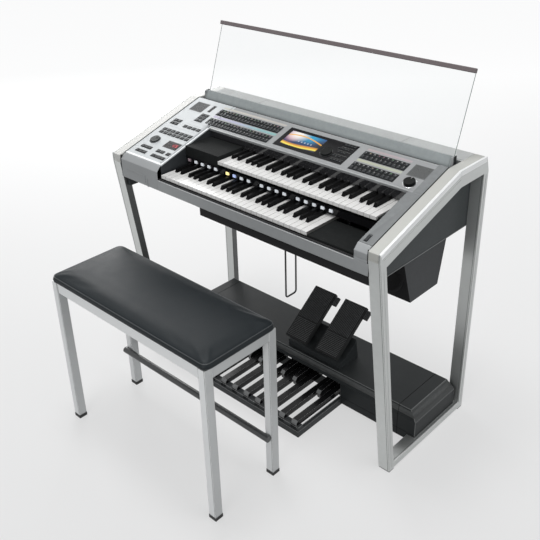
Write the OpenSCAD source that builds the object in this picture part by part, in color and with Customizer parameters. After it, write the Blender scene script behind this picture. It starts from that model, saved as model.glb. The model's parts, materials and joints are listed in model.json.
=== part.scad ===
// Two-manual electronic organ on open metal side frames, with pedalboard and bench.
// Depths run back from the front face of the arms, heights run up from the floor.
// The player sits on the -Y side and +X is at the player's right hand.

/* [Whole organ] */
// Width over the two side frames
body_w = 1230; // [1190:5:1300]
// Depth from the arm fronts to the rear legs
body_d = 576; // [560:4:620]
// Height of the flat top
body_h = 1009; // [995:1:1025]

/* [Side frames] */
// Width of the frame tube, left to right
tube_w = 45; // [38:1:52]
// Depth of the legs, front to back
leg_d = 28; // [22:1:34]
// Thickness of the arm, top to underside
arm_t = 56; // [48:1:64]
// Thickness of the moulded cover along the top of the arm
arm_cover_t = 14; // [8:1:20]
// Rise of the sloping arm from its front to the flat top
slope_rise = 124; // [110:1:140]
// Width of the cover on the arm, inside the frame's outer edge
cover_w = 36; // [30:1:38]
// Height of the cover's front face
arm_face_h = 29; // [20:1:40]
// Depth at which the front foot stands
foot_d = 111; // [80:1:140]
// Height of the floor rail
rail_h = 27; // [20:1:34]
// Clearance of the floor rail above the floor
rail_up = 7; // [5:1:12]
// Height of the foot pads under the legs
pad_h = 4; // [2:1:5]
// Depth and drop of the bevel along the rear top edge
rear_bevel = [16, 51];

/* [Console] */
// Height of the console from its underside to the flat top
console_h = 252; // [240:1:262]
// Thickness of the bottom board
bed_t = 12; // [8:1:16]
// Depth of the bottom board's front edge
bed_d = 66; // [60:1:72]
// Thickness of the dark side panels
side_t = 12; // [8:1:16]
// Wall of the console's mouldings
wall = 4; // [3:0.5:5]
// Drop of the panels below the top of the arms
panel_drop = 2; // [1:0.5:3]
// Depth of the front rail's face
rail_face_d = 2; // [1:0.5:3]
// Drop of the front rail's underside below the front of the arm
rail_low_drop = 84; // [80:1:90]
// Drop of the front rail's top edge below the front of the arm
rail_high_drop = 44; // [42:1:48]
// Width of the left panel
left_w = 205; // [196:1:208]
// Width of the cheek at the right of the keys
cheek_w = 48; // [42:1:52]
// Depth of the sloping panel behind its lip
panel_depth = 143; // [140:1:150]
// Distance from the left side panel to the tray under the front rail
tray_in = 392; // [320:2:440]
// Depth of the tray's front face
tray_d = 23; // [18:1:30]

/* [Manuals] */
// Distance from one natural key to the next
key_pitch = 23.5; // [22.5:0.1:23.6]
// Naturals in each manual
naturals = 29; // [15:7:29]
// Gap between neighbouring keys
key_gap = 1; // [0.6:0.1:1.4]
// Whole length of a key
key_len = 222; // [215:1:225]
// Length of the wide front of a natural
head_len = 50; // [46:1:54]
// Thickness of a key
key_t = 12; // [10:0.5:13]
// Width of a sharp
sharp_w = 11; // [9:0.5:12]
// Height of a sharp above the naturals
sharp_up = 12; // [9:0.5:13]
// Length of a sharp's raised part
sharp_len = 80; // [70:1:82]
// Depth of the lower manual's front edge
lower_d = 14; // [13:1:18]
// Drop of the lower manual below the front of the arm
lower_drop = 25; // [22:1:27]
// Rise of the upper manual above the lower one
manual_rise = 57; // [54:1:60]
// Space between the well's left end and the lower manual
lower_in = 10; // [3:1:14]
// Space between the upper manual and the well's right end
upper_in = 23; // [6:1:28]
// Travel of a key at its front edge
key_dip = 10; // [8:0.5:10]

/* [Panel controls] */
// Columns of voice buttons
voice_cols = 20; // [10:1:20]
// Columns of rhythm buttons
rhythm_cols = 10; // [6:1:10]
// Size of a panel button
button = [10.4, 14, 7];
// Height of a panel button above the panel
button_up = 2.5; // [1.5:0.5:3]
// Travel of a panel button
button_dip = 1; // [0.5:0.1:1.2]
// Clearance round a button
button_gap = 0.4; // [0.3:0.1:0.6]
// Size of the display frame
display = [303, 108];
// Size of the screen
screen = [154, 77];
// Diameter of the data dial
dial_dia = 42; // [36:1:44]
// Diameter of the volume knob
knob_dia = 38; // [30:1:40]
// Diameter of the tempo dial
tempo_dia = 38; // [30:1:40]
// Size of a registration button's face
reg_button = [13, 10];
// Distance between registration buttons
reg_pitch = 34.4; // [30:0.1:35]

/* [Music rest] */
// Space between the rest and the arm at each end
rest_gap = 12.5; // [10:0.5:30]
// Length of the rest above its hinge
rest_len = 282; // [230:1:286]
// Backward lean of the rest from upright, degrees
rest_lean = 18.8; // [12:0.2:24]
// Thickness of the clear sheet
sheet_t = 5; // [3:0.5:6]
// Height of the grey holder rail
holder_h = 38; // [32:1:40]
// Thickness of the holder rail
holder_t = 20; // [16:1:22]
// Height and thickness of the top bar
rest_bar_size = [15, 14];
// Setback of the rest's hinge behind the panels, and its rise above the flat top
rest_hinge_at = [34, 13];
// Diameter of the rest's hinge pins
rest_pin_dia = 6; // [4:0.5:8]

/* [Pedal base] */
// Height of the pedal base
base_h = 143; // [135:1:150]
// Depth of the base's front face
base_front = 275; // [262:1:290]
// Space between the base and the organ's rear face
base_rear_in = 46; // [36:1:60]
// Clearance of the base above the floor
base_up = 12; // [8:1:16]
// Height over which the base's top edges are bevelled
base_bevel_h = 40; // [30:1:50]
// Setback of the front and rear bevels
base_bevel = [8, 16];
// Setback of the left and right end bevels
base_end_bevel = [33, 26];
// Setback of the base's right end from the outside of the frame
base_in = 12; // [6:1:20]

/* [Pedals] */
// Natural pedals
pedals = 12; // [7:1:12]
// Distance between natural pedals
pedal_pitch = 60.67; // [56:0.01:62]
// Width of a natural pedal
pedal_w = 25; // [20:1:28]
// Depths of a natural pedal's front and rear ends
pedal_ends = [42, 334];
// Height and thickness of a natural pedal
pedal_z = [61, 22];
// Centre of the last pedal at the right
pedal_last_x = 244.8; // [230:0.1:260]
// Width of a sharp pedal
pedal_sharp_w = 18; // [14:1:22]
// Front end and height of a sharp pedal
pedal_sharp_at = [212.5, 79];
// Travel of a pedal at its front
pedal_dip = 11; // [8:0.5:12]
// Depth of the front bar's face
bar_d = 36; // [30:1:40]
// Margin of the pedalboard beyond its end pedals
pedal_margin = 25; // [24:0.5:34]

/* [Expression pedals] */
// Width of an expression pedal
shoe_w = 103; // [90:1:110]
// Length of an expression pedal
shoe_len = 228; // [200:2:240]
// Thickness of an expression pedal
shoe_t = 16; // [12:1:20]
// Angle of an expression pedal, degrees
shoe_tilt = 37; // [30:1:40]
// Left edges of the two expression pedals
shoe_x = [-6, 143];
// Depth and height of an expression pedal's heel
shoe_heel = [278, 200];
// Diameter of the pedal's hinge pin
shoe_pin_dia = 10; // [8:0.5:12]

/* [Speaker box] */
// Width and height of the speaker box
box_size = [132, 172];
// Space between the speaker box and the side panel
box_in = 1; // [1:1:40]
// Depths of the box at its top
box_top = [206, 453];
// Depths of the box at its bottom
box_bottom = [259, 418];
// Diameter of the loudspeaker
driver_dia = 104; // [80:2:110]

/* [Knee lever] */
// Place of the lever across the organ
knee_x = 200; // [100:1:380]
// Depths of the lever's two wires
knee_d = [60, 110];
// Length of the lever below the console
knee_len = 204; // [160:2:230]
// Thickness of the lever's wire
knee_wire = 6; // [4:0.5:8]

/* [Bench] */
// Width and depth of the bench cushion
seat = [784, 302];
// Sideways offset of the bench
bench_x = -55; // [-80:1:80]
// Clear floor between the cushion and the front of the organ
bench_gap = 127; // [60:1:400]
// Width and depth of the bench frame
bench_frame_size = [770, 296];
// Height of the bench frame
bench_h = 587; // [540:1:620]
// Side of the square bench tube
bench_tube = 30; // [25:1:35]
// Height of the bench aprons
apron_h = 38; // [30:1:45]
// Height of the bench's foot caps
cap_h = 14; // [8:1:20]
// Height of the stretcher's centre
stretcher_z = 166; // [120:1:260]
// Diameter of the stretcher
stretcher_dia = 24; // [18:1:30]
// Thickness of the cushion at its edge and at its crown
cushion_t = [21, 36];

/* [Hidden] */
$fn = 48;

// Where the organ's front face lies, with the bench and organ centred on the origin
total_d = seat[1] + bench_gap + body_d;
front_y = -total_d / 2 + seat[1] + bench_gap;
half_w = body_w / 2;
inner_x = half_w - tube_w;
panel_in = inner_x - 4;
shell_x = inner_x - side_t;
seat_gap = 0.3;

// Heights hang from the flat top
arm_front_h = body_h - slope_rise;
under_h = body_h - console_h;
front_low = arm_front_h - rail_low_drop;
front_high = arm_front_h - rail_high_drop;
lower_z = arm_front_h - lower_drop;
upper_z = lower_z + manual_rise;
shelf_z = upper_z - key_t - key_dip - 2.5;
box_low = under_h - box_size[1];
knee_low = under_h - knee_len;

// Depths run on from the front of the lower manual
row_w = naturals * key_pitch;
sharp_start = head_len + key_gap;
fascia_foot = [lower_d + sharp_start + sharp_len + 4, lower_z + 4];
fascia_head = [fascia_foot[0] - 8, shelf_z];
upper_d = fascia_head[0] - 3;
riser_foot = [upper_d + sharp_start + sharp_len + 9, shelf_z];
lip_d = riser_foot[0] - 15;
panel_end_d = lip_d + panel_depth;
slope_d = panel_end_d - 4;
rest_hinge = [panel_end_d + rest_hinge_at[0], body_h + rest_hinge_at[1]];

// Places across the organ follow from the frames
well_left = left_w - panel_in;
well_right = panel_in - cheek_w;
well_w = well_right - well_left;
lower_at = [well_left + lower_in, lower_d, lower_z];
upper_at = [well_right - upper_in - row_w, upper_d, upper_z];
base_ends = [-inner_x, half_w - base_in];
base_faces = [base_front, body_d - base_rear_in];
rest_w = 2 * (inner_x - rest_gap);
box_x = [shell_x - box_in - box_size[0], shell_x - box_in];

// The arm's slope, and heights on it
slope = slope_rise / slope_d;
tilt = atan(slope);
function slope_z(d) = arm_front_h + slope * d;
lean = foot_d / (arm_front_h - arm_face_h);
// Height of the underside of the sloping panels
function under_panel(d) = slope_z(d) - (panel_drop + wall) / cos(tilt);

// Draws a [depth, height] outline as a plate from x0 to x1
module plate(x0, x1, outline) {
    translate([x0, front_y, 0])
        rotate([90, 0, 90])
            linear_extrude(x1 - x0)
                polygon(outline);
}

// Places children on the sloping plane at a depth, with y up the slope and z square to it
module on_slope(x, d) {
    translate([x, front_y + d, slope_z(d)])
        rotate([tilt, 0, 0])
            children();
}

// A box on the slope from depth d0 to d1, between two heights square to the slope
module slope_box(x0, x1, d0, d1, low, high) {
    on_slope(x0, d0)
        translate([0, 0, low])
            cube([x1 - x0, (d1 - d0) / cos(tilt), high - low]);
}

// Side frames, arm covers and foot pads
arm_v = arm_t / cos(tilt);
cover_v = arm_cover_t / cos(tilt);
leg_back = foot_d + leg_d;
corner_d = (leg_back - lean * (arm_front_h - arm_v)) / (1 + lean * slope);
bend_d = (body_h - arm_t - arm_front_h + arm_v) / slope;
rail_top = rail_up + rail_h;
bevel_d = body_d - rear_bevel[0];
bevel_low = body_h - rear_bevel[1];
cover_bend = slope_d + (cover_v - arm_cover_t) / slope;
bevel_in = arm_cover_t * rear_bevel[0] / rear_bevel[1];

module side_frame(x0, cover_x) {
    difference() {
        plate(x0, x0 + tube_w, [
            [foot_d - lean * pad_h, pad_h],
            [0, arm_front_h - arm_face_h],
            [0, arm_front_h],
            [slope_d, body_h],
            [bevel_d, body_h],
            [body_d, bevel_low],
            [body_d, pad_h],
            [body_d - leg_d, pad_h],
            [body_d - leg_d, rail_up],
            [leg_back - lean * rail_up, rail_up],
            [leg_back - lean * pad_h, pad_h]
        ]);
        plate(x0 - 1, x0 + tube_w + 1, [
            [corner_d, slope_z(corner_d) - arm_v],
            [bend_d, body_h - arm_t],
            [body_d - leg_d, body_h - arm_t],
            [body_d - leg_d, rail_top],
            [leg_back - lean * rail_top, rail_top]
        ]);
        // Step that the arm's cover lies in
        plate(cover_x, cover_x + cover_w + 1, [
            [-1, arm_front_h - arm_face_h],
            [wall, arm_front_h - arm_face_h],
            [wall, slope_z(wall) - cover_v],
            [cover_bend, body_h - arm_cover_t],
            [body_d, body_h - arm_cover_t],
            [body_d, body_h + 1],
            [-1, body_h + 1]
        ]);
    }
}

module left_side_frame() {
    color("silver") side_frame(-half_w, -inner_x - cover_w);
}

module right_side_frame() {
    color("silver") side_frame(inner_x, inner_x - 1);
}

module arm_cover(x0) {
    plate(x0, x0 + cover_w, [
        [0, arm_front_h - arm_face_h],
        [0, arm_front_h],
        [slope_d, body_h],
        [bevel_d, body_h],
        [bevel_d + bevel_in, body_h - arm_cover_t],
        [cover_bend, body_h - arm_cover_t],
        [wall, slope_z(wall) - cover_v],
        [wall, arm_front_h - arm_face_h]
    ]);
}

module arm_covers() {
    color("antiquewhite") {
        arm_cover(-inner_x - cover_w);
        arm_cover(inner_x);
    }
}

module frame_foot_pads() {
    color("dimgray")
        for (x0 = [-half_w, inner_x])
            for (d = [foot_d, body_d - leg_d])
                translate([x0 + 1, front_y + d + 1, 0])
                    cube([tube_w - 2, leg_d - 2, pad_h]);
}

// Console shell
side_top = 8 + panel_drop + wall;

module side_panel(x0) {
    plate(x0, x0 + side_t, [
        [24, under_h],
        [24, slope_z(24) - side_top],
        [slope_d, body_h - side_top],
        [channel_front - seat_gap, body_h - side_top],
        [channel_front - seat_gap, channel_low],
        [channel_back + seat_gap, channel_low],
        [channel_back + seat_gap, body_h - side_top],
        [bevel_d - 4, body_h - side_top],
        [body_d - 4, bevel_low],
        [body_d - 4, under_h]
    ]);
}

module side_panels() {
    color("dimgray") {
        side_panel(-inner_x);
        side_panel(inner_x - side_t);
    }
}

module bottom_board() {
    color("black")
        plate(-shell_x, shell_x, [
            [bed_d, under_h],
            [bed_d, front_low],
            [rail_face_d + 18, front_low],
            [rail_face_d + 18, front_low + wall],
            [bed_d + 8, front_low + wall],
            [bed_d + 8, under_h + bed_t],
            [body_d - 4 - wall, under_h + bed_t],
            [body_d - 4 - wall, under_h]
        ]);
    // Ears under the board that hold the knee lever's pivot pin
    color("dimgray")
        for (d = [knee_d[0] + knee_pivot_in, knee_d[1] - knee_pivot_in - 6])
            translate([knee_x - 9, front_y + d, knee_pivot_z - 9])
                difference() {
                    cube([18, 6, under_h - knee_pivot_z + 9 + bed_t / 2]);
                    translate([9, -1, 9])
                        rotate([-90, 0, 0])
                            cylinder(d = knee_pin_dia, h = 8);
                }
}

module front_tray() {
    color("black") {
        plate(tray_in - shell_x, shell_x, [
            [tray_d, under_h],
            [tray_d, front_low - wall],
            [rail_face_d + 5, front_low - wall],
            [rail_face_d + 5, front_low],
            [tray_d + wall, front_low],
            [tray_d + wall, under_h + wall],
            [bed_d, under_h + wall],
            [bed_d, under_h]
        ]);
    }
}

vent_n = 14;
inlet = [48, 27];
inlet_x = 78 - shell_x;

module rear_cover() {
    color("black")
        difference() {
            translate([-shell_x, front_y + body_d - 4 - wall, under_h])
                cube([2 * shell_x, wall, bevel_low - under_h]);
            for (k = [0 : vent_n - 1])
                translate([-300 + k * 16, front_y + body_d - 12, bevel_low - 90])
                    cube([6, 16, 60]);
            translate([inlet_x, front_y + body_d - 12, under_h + 40])
                cube([inlet[0], 16, inlet[1]]);
        }
}

module top_cover() {
    color("gainsboro")
        plate(-inner_x, inner_x, [
            [channel_back, body_h],
            [bevel_d, body_h],
            [body_d, bevel_low],
            [body_d - wall, bevel_low],
            [bevel_d - wall, body_h - wall],
            [channel_back, body_h - wall]
        ]);
}

module front_rail() {
    color("slategray")
        plate(well_left, inner_x, [
            [rail_face_d, front_low],
            [rail_face_d, front_high],
            [rail_face_d + 5, front_high],
            [rail_face_d + 5, front_low + wall],
            [rail_face_d + 18, front_low + wall],
            [rail_face_d + 18, front_low]
        ]);
}

module key_slip() {
    color("black")
        plate(well_left, well_right, [
            [rail_face_d + 5, front_low + 14],
            [rail_face_d + 5, front_high + 4],
            [lower_at[1] - 1.2, front_high + 4],
            [lower_at[1] - 1.2, front_low + 14]
        ]);
}

// An end block has a flat face, a bevel up to the panel and a flange under it
block_bevel = 17;

module end_block(x0, x1, low) {
    top = slope_z(rail_face_d + block_bevel) - panel_drop;
    plate(x0, x1, [
        [rail_face_d, low],
        [rail_face_d, top - block_bevel],
        [rail_face_d + block_bevel, top],
        [24, slope_z(24) - panel_drop],
        [24, slope_z(24) - panel_drop - wall],
        [rail_face_d + block_bevel, top - wall],
        [rail_face_d + wall, top - block_bevel - 2],
        [rail_face_d + wall, low + wall],
        [rail_face_d + 18, low + wall],
        [rail_face_d + 18, low]
    ]);
}

module left_end_block() {
    color("gray") end_block(-panel_in, well_left, front_low);
}

module right_end_block() {
    color("gray") end_block(well_right, panel_in, front_high);
}

// Left panel: each group of buttons is [distance from the left edge, depth, columns, rows, pitch, row pitch]
left_groups = [
    [26, 170, 7, 2, 23.5, 18],
    [29, 50, 3, 2, 19, 27],
    [116, 77, 2, 1, 22, 18],
    [170, 77, 1, 1, 22, 18],
    [117, 50, 4, 1, 18, 18],
    [94, 231, 4, 1, 24, 18],
    [22, 230, 2, 2, 21, 18],
    [106, 279, 2, 3, 20, 17]
];
left_button = [15, 9, 7];

module each_left_button() {
    for (g = left_groups)
        for (i = [0 : g[2] - 1])
            for (j = [0 : g[3] - 1])
                on_slope(g[0] + i * g[4] - panel_in, g[1] + j * g[5])
                    children();
}

tempo_at = [52 - panel_in, 128];
readout_at = [114 - panel_in, 108];
readout_size = [72, 40];
grille_size = [68, 58];
grille_left = [22 - panel_in, lip_d + 63];
grille_right = [panel_in - 32 - grille_size[0], lip_d + 63];
slot_at = [110 - panel_in, lip_d + 77];
slot_size = [16, 44];

module left_panel() {
    color("whitesmoke")
        difference() {
            slope_box(-panel_in, well_left, 24, panel_end_d, -panel_drop - wall, -panel_drop);
            each_left_button()
                translate([-button_gap, -button_gap, -10])
                    cube([
                        left_button[0] + 2 * button_gap,
                        left_button[1] + 2 * button_gap,
                        20
                    ]);
            on_slope(tempo_at[0], tempo_at[1])
                translate([0, 0, -10])
                    cylinder(d = spindle_dia + 0.1, h = 20);
            on_slope(readout_at[0], readout_at[1])
                translate([0, 0, -10])
                    cube([readout_size[0], readout_size[1], 20]);
            on_slope(grille_left[0], grille_left[1])
                translate([0, 0, -10])
                    cube([grille_size[0], grille_size[1], 20]);
            on_slope(slot_at[0], slot_at[1])
                translate([0, 0, -10])
                    cube([slot_size[0], slot_size[1], 20]);
            voice_windows(0);
        }
}

// Centre panel with its lip, windows for the bezels, display, grille and knob
voice_rows = [lip_d + 15, lip_d + 74];
voice_in = 45;
rhythm_in = 68;
field_gap = 28.5;
bezel_h = 41;
fields_w = well_w + voice_in - rhythm_in - display[0] - 2 * field_gap;
voice_pitch = fields_w / (voice_cols + 1.1 * rhythm_cols);
voice_w = voice_cols * voice_pitch;
voice_x = well_left - voice_in;
rhythm_pitch = 1.1 * voice_pitch;
rhythm_w = rhythm_cols * rhythm_pitch;
rhythm_x = well_right - rhythm_in - rhythm_w;
display_at = [voice_x + voice_w + field_gap - 2.5, lip_d + 20];
screen_at = [display_at[0] + 20, display_at[1] + 16];
dial_at = [display_at[0] + 215, lip_d + 55];
knob_at = [panel_in - 64, lip_d + 32];
spindle_dia = 12;

module voice_windows(grow) {
    for (d = voice_rows)
        on_slope(voice_x - grow, d)
            translate([0, -grow, -10])
                cube([voice_w + 2 * grow, bezel_h + 2 * grow, 20]);
}

module rhythm_windows(grow) {
    for (d = voice_rows)
        on_slope(rhythm_x - grow, d)
            translate([0, -grow, -10])
                cube([rhythm_w + 2 * grow, bezel_h + 2 * grow, 20]);
}

module centre_panel() {
    color("silver")
        difference() {
            union() {
                slope_box(well_left, panel_in, lip_d, panel_end_d, -panel_drop - wall, -panel_drop);
                on_slope(well_left, lip_d)
                    translate([0, 0, -panel_drop - lip_drop])
                        cube([well_w, lip_t, lip_drop]);
            }
            voice_windows(0);
            rhythm_windows(0);
            on_slope(display_at[0], display_at[1])
                translate([0, 0, -10])
                    cube([display[0], display[1], 20]);
            on_slope(grille_right[0], grille_right[1])
                translate([0, 0, -10])
                    cube([grille_size[0], grille_size[1], 20]);
            on_slope(knob_at[0], knob_at[1])
                translate([0, 0, -10])
                    cylinder(d = spindle_dia + 0.1, h = 20);
        }
}

power_size = [10, 26, 7];
power_at = [panel_in - 26 - power_size[0], 32];

module right_cheek() {
    color("gray")
        difference() {
            slope_box(well_right, panel_in, 24, lip_d, -panel_drop - wall, -panel_drop);
            on_slope(power_at[0] - button_gap, power_at[1])
                translate([0, -button_gap, -10])
                    cube([
                        power_size[0] + 2 * button_gap,
                        power_size[1] + 2 * button_gap,
                        20
                    ]);
        }
}

// Key well, riser, blocks beside the keys and the fascia between the manuals

module well_wall(x0, d0, low) {
    plate(x0, x0 + wall, [
        [d0, low],
        [d0, under_panel(d0)],
        [riser_foot[0], under_panel(riser_foot[0])],
        [riser_foot[0], low]
    ]);
}

module key_well_walls() {
    color("black") {
        well_wall(well_left - wall, 24, front_low + wall);
        well_wall(well_right, 24, front_low + wall);
    }
}

lip_drop = 9;
lip_t = 5;

module panel_riser() {
    // It stands behind the lip and leans back to clear the keys
    head = lip_d + lip_t + (panel_drop + lip_drop) * sin(tilt) + seat_gap;
    color("dimgray")
        plate(well_left, well_right, [
            [head, under_panel(head)],
            [riser_foot[0] - wall, shelf_z + 30],
            [riser_foot[0] - wall, upper_at[2] + 3],
            [riser_foot[0], upper_at[2] + 3],
            [riser_foot[0], under_panel(riser_foot[0])]
        ]);
}

deck_top = upper_z + 15;

module key_blocks() {
    color("black") {
        translate([well_left, front_y + fascia_head[0] + 2, shelf_z])
            cube([
                upper_at[0] - 1.5 - well_left,
                riser_foot[0] - fascia_head[0] - 12,
                deck_top - shelf_z
            ]);
        translate([upper_at[0] + row_w + 1.5, front_y + upper_d + 7, shelf_z])
            cube([
                well_right - upper_at[0] - row_w - 1.5,
                riser_foot[0] - wall - upper_d - 7,
                upper_at[2] - 3 - shelf_z
            ]);
        translate([lower_at[0] + row_w + 1.5, front_y + lower_at[1], front_low + 14])
            cube([
                well_right - lower_at[0] - row_w - 1.5,
                fascia_foot[0] - 2 - lower_at[1],
                lower_at[2] - 8 - front_low - 14
            ]);
    }
}

fascia_t = 6;
reg_counts = [5, 4, 4, 5];
reg_starts = [19.5, 216.9, 381.1, 543.4];
reg_z = shelf_z - 11.5;

module each_reg_button() {
    for (g = [0 : len(reg_counts) - 1])
        for (i = [0 : reg_counts[g] - 1])
            translate([
                well_left + reg_starts[g] + i * reg_pitch,
                front_y + fascia_head[0],
                reg_z
            ])
                children();
}

module registration_fascia() {
    color("black")
        difference() {
            plate(well_left, well_right, [
                fascia_head,
                fascia_foot,
                [fascia_foot[0] + fascia_t, fascia_foot[1]],
                [fascia_head[0] + fascia_t + 1, shelf_z - wall],
                [chassis_front, shelf_z - wall],
                [chassis_front, shelf_z]
            ]);
            each_reg_button()
                translate([
                    -reg_button[0] / 2 - button_gap,
                    -8,
                    -reg_button[1] / 2 - button_gap
                ])
                    cube([
                        reg_button[0] + 2 * button_gap,
                        30,
                        reg_button[1] + 2 * button_gap
                    ]);
        }
}

module registration_buttons() {
    color("white")
        each_reg_button()
            translate([-reg_button[0] / 2, -1, -reg_button[1] / 2])
                cube([reg_button[0], 9, reg_button[1]]);
}

// Button bezels are dark strips with one hole for each button
module bezel(x0, w, cols, pitch) {
    for (d = voice_rows)
        difference() {
            on_slope(x0, d)
                translate([0, 0, -panel_drop - wall])
                    cube([w, bezel_h, wall]);
            for (i = [0 : cols - 1])
                for (j = [0, 1])
                    on_slope(x0, d)
                        translate([
                            i * pitch + (pitch - button[0]) / 2 - button_gap,
                            row_y(j) - button_gap,
                            -12
                        ])
                            cube([
                                button[0] + 2 * button_gap,
                                button[1] + 2 * button_gap,
                                20
                            ]);
        }
}

function row_y(j) = bezel_h / 4 + j * bezel_h / 2 - button[1] / 2;

module button_bezels() {
    color("black") {
        bezel(voice_x, voice_w, voice_cols, voice_pitch);
        bezel(rhythm_x, rhythm_w, rhythm_cols, rhythm_pitch);
    }
}

module button_block(x0, cols, pitch) {
    for (d = voice_rows)
        for (i = [0 : cols - 1])
            for (j = [0, 1])
                on_slope(x0, d)
                    translate([
                        i * pitch + (pitch - button[0]) / 2,
                        row_y(j),
                        button_up - panel_drop - button[2]
                    ])
                        cube(button);
}

module voice_buttons() {
    color("darkslategray") button_block(voice_x, voice_cols, voice_pitch);
}

module rhythm_buttons() {
    color("darkslategray") button_block(rhythm_x, rhythm_cols, rhythm_pitch);
}

module left_panel_buttons() {
    color("darkslategray")
        each_left_button()
            translate([0, 0, button_up - panel_drop - left_button[2]])
                cube(left_button);
}

// Display frame with its own buttons; each row is [x, depth, columns]
display_rows = [
    [250, 109, 4],
    [238, 89, 4],
    [250, 69, 3],
    [244, 49, 3],
    [250, 29, 4]
];
display_button = [8, 6, 7];
display_pitch = 12;

module each_display_button() {
    for (r = display_rows)
        for (i = [0 : r[2] - 1])
            on_slope(display_at[0] + r[0] + i * display_pitch, lip_d + r[1])
                children();
}

module display_frame() {
    color("black")
        difference() {
            on_slope(display_at[0], display_at[1])
                translate([0, 0, -panel_drop - wall])
                    cube([display[0], display[1], wall + 0.6]);
            on_slope(screen_at[0], screen_at[1])
                translate([0, 0, -panel_drop - 1])
                    cube([screen[0], screen[1], 10]);
            on_slope(dial_at[0], dial_at[1])
                translate([0, 0, -12])
                    cylinder(d = spindle_dia + 0.1, h = 20);
            each_display_button()
                translate([-button_gap, -button_gap, -12])
                    cube([
                        display_button[0] + 2 * button_gap,
                        display_button[1] + 2 * button_gap,
                        20
                    ]);
        }
}

module display_screen() {
    color("steelblue")
        on_slope(screen_at[0], screen_at[1])
            translate([0, 0, -panel_drop - 1])
                cube([screen[0], screen[1], 1.4]);
}

module display_buttons() {
    color("black")
        each_display_button()
            translate([0, 0, button_up - panel_drop - display_button[2]])
                cube(display_button);
}

// A dial has a cap above the panel and a spindle through it
module dial(at, dia, h) {
    on_slope(at[0], at[1]) {
        translate([0, 0, 0.9 - panel_drop])
            cylinder(d = dia, h = h);
        translate([0, 0, -panel_drop - 12])
            cylinder(d = spindle_dia, h = 13);
    }
}

module data_dial() {
    color("dimgray") dial(dial_at, dial_dia, 6);
}

module volume_knob() {
    color("black") dial(knob_at, knob_dia, 11);
}

module tempo_dial() {
    color("gray") dial(tempo_at, tempo_dia, 5);
}

module power_button() {
    color("black")
        on_slope(power_at[0], power_at[1])
            translate([0, 0, 2 - panel_drop - power_size[2]])
                cube(power_size);
}

module led_readout() {
    color("black") {
        on_slope(readout_at[0], readout_at[1])
            translate([0, 0, -panel_drop - wall])
                cube([readout_size[0], readout_size[1], wall]);
        on_slope(slot_at[0], slot_at[1])
            translate([0, 0, -panel_drop - wall])
                cube([slot_size[0], slot_size[1], wall - 1.5]);
    }
}

module tweeter_grilles() {
    color("gray")
        for (at = [grille_left, grille_right])
            on_slope(at[0], at[1])
                translate([0, 0, -panel_drop - wall])
                    cube([grille_size[0], grille_size[1], wall]);
}

// Keys and their chassis
key_pivot = key_len - 8;
key_pivot_up = 1;
key_pivot_dia = 4;
chassis_front = fascia_foot[0] + 21;
octave_sharps = [0, 1, 3, 4, 5];
sharp_shift = [-2.2, 2.2, 0, -3.2, 0, 3.2, 0];
function has_sharp(i) = i >= 0 && i < naturals - 1 && len(search(i % 7, octave_sharps)) > 0;
function cut_left(i) = has_sharp(i - 1)
    ? sharp_w / 2 + key_gap + sharp_shift[(i - 1) % 7] : key_gap / 2;
function cut_right(i) = has_sharp(i)
    ? sharp_w / 2 + key_gap - sharp_shift[i % 7] : key_gap / 2;

module natural_key(i) {
    linear_extrude(key_t)
        polygon([
            [key_gap / 2, 0],
            [key_pitch - key_gap / 2, 0],
            [key_pitch - key_gap / 2, head_len],
            [key_pitch - cut_right(i), head_len],
            [key_pitch - cut_right(i), key_len],
            [cut_left(i), key_len],
            [cut_left(i), head_len],
            [key_gap / 2, head_len]
        ]);
}

// Each key rests in a round groove on the top of the pivot rail
module key_groove(at) {
    translate([at[0] - 1, front_y + at[1] + key_pivot, at[2] - key_t + key_pivot_up])
        rotate([0, 90, 0])
            cylinder(d = key_pivot_dia + 0.1, h = row_w + 2);
}

module natural_row(at) {
    difference() {
        for (i = [0 : naturals - 1])
            translate([at[0] + i * key_pitch, front_y + at[1], at[2] - key_t])
                natural_key(i);
        key_groove(at);
    }
}

module sharp_row(at) {
    difference() {
        for (i = [0 : naturals - 2])
            if (has_sharp(i))
                translate([
                    at[0] + (i + 1) * key_pitch + sharp_shift[i % 7] - sharp_w / 2,
                    0,
                    at[2]
                ])
                    plate(0, sharp_w, [
                        [at[1] + sharp_start, -key_t],
                        [at[1] + sharp_start, 1],
                        [at[1] + sharp_start + 7, sharp_up],
                        [at[1] + sharp_start + sharp_len, sharp_up],
                        [at[1] + sharp_start + sharp_len, -0.6],
                        [at[1] + key_len, -0.6],
                        [at[1] + key_len, -key_t]
                    ]);
        key_groove(at);
    }
}

module lower_naturals() {
    color("ivory") natural_row(lower_at);
}

module lower_sharps() {
    color("black") sharp_row(lower_at);
}

module upper_naturals() {
    color("ivory") natural_row(upper_at);
}

module upper_sharps() {
    color("black") sharp_row(upper_at);
}

// A chassis is a floor plate with a felt rail under the keys and a pivot rail behind
felt_at = 64;
felt_w = 16;

module key_chassis(at, start, floor_z) {
    d0 = at[1];
    drop = key_dip * (key_pivot - felt_at) / key_pivot;
    under = at[2] - key_t;
    plate(at[0], at[0] + row_w, [
        [start, floor_z],
        [start, floor_z + 3],
        [d0 + felt_at, floor_z + 3],
        [d0 + felt_at, under - drop - 1],
        [d0 + felt_at + felt_w, under - drop - 1],
        [d0 + felt_at + felt_w, floor_z + 3],
        [d0 + key_pivot - 4, floor_z + 3],
        [d0 + key_pivot - 1.2, under - 4],
        [d0 + key_pivot - 1.2, under + key_pivot_up],
        [d0 + key_pivot + 1.2, under + key_pivot_up],
        [d0 + key_pivot + 1.2, under - 4],
        [d0 + key_pivot + 8, floor_z + 3],
        [d0 + key_pivot + 8, floor_z]
    ]);
    translate([at[0], front_y + d0 + key_pivot, under + key_pivot_up])
        rotate([0, 90, 0])
            cylinder(d = key_pivot_dia, h = row_w);
}

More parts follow.
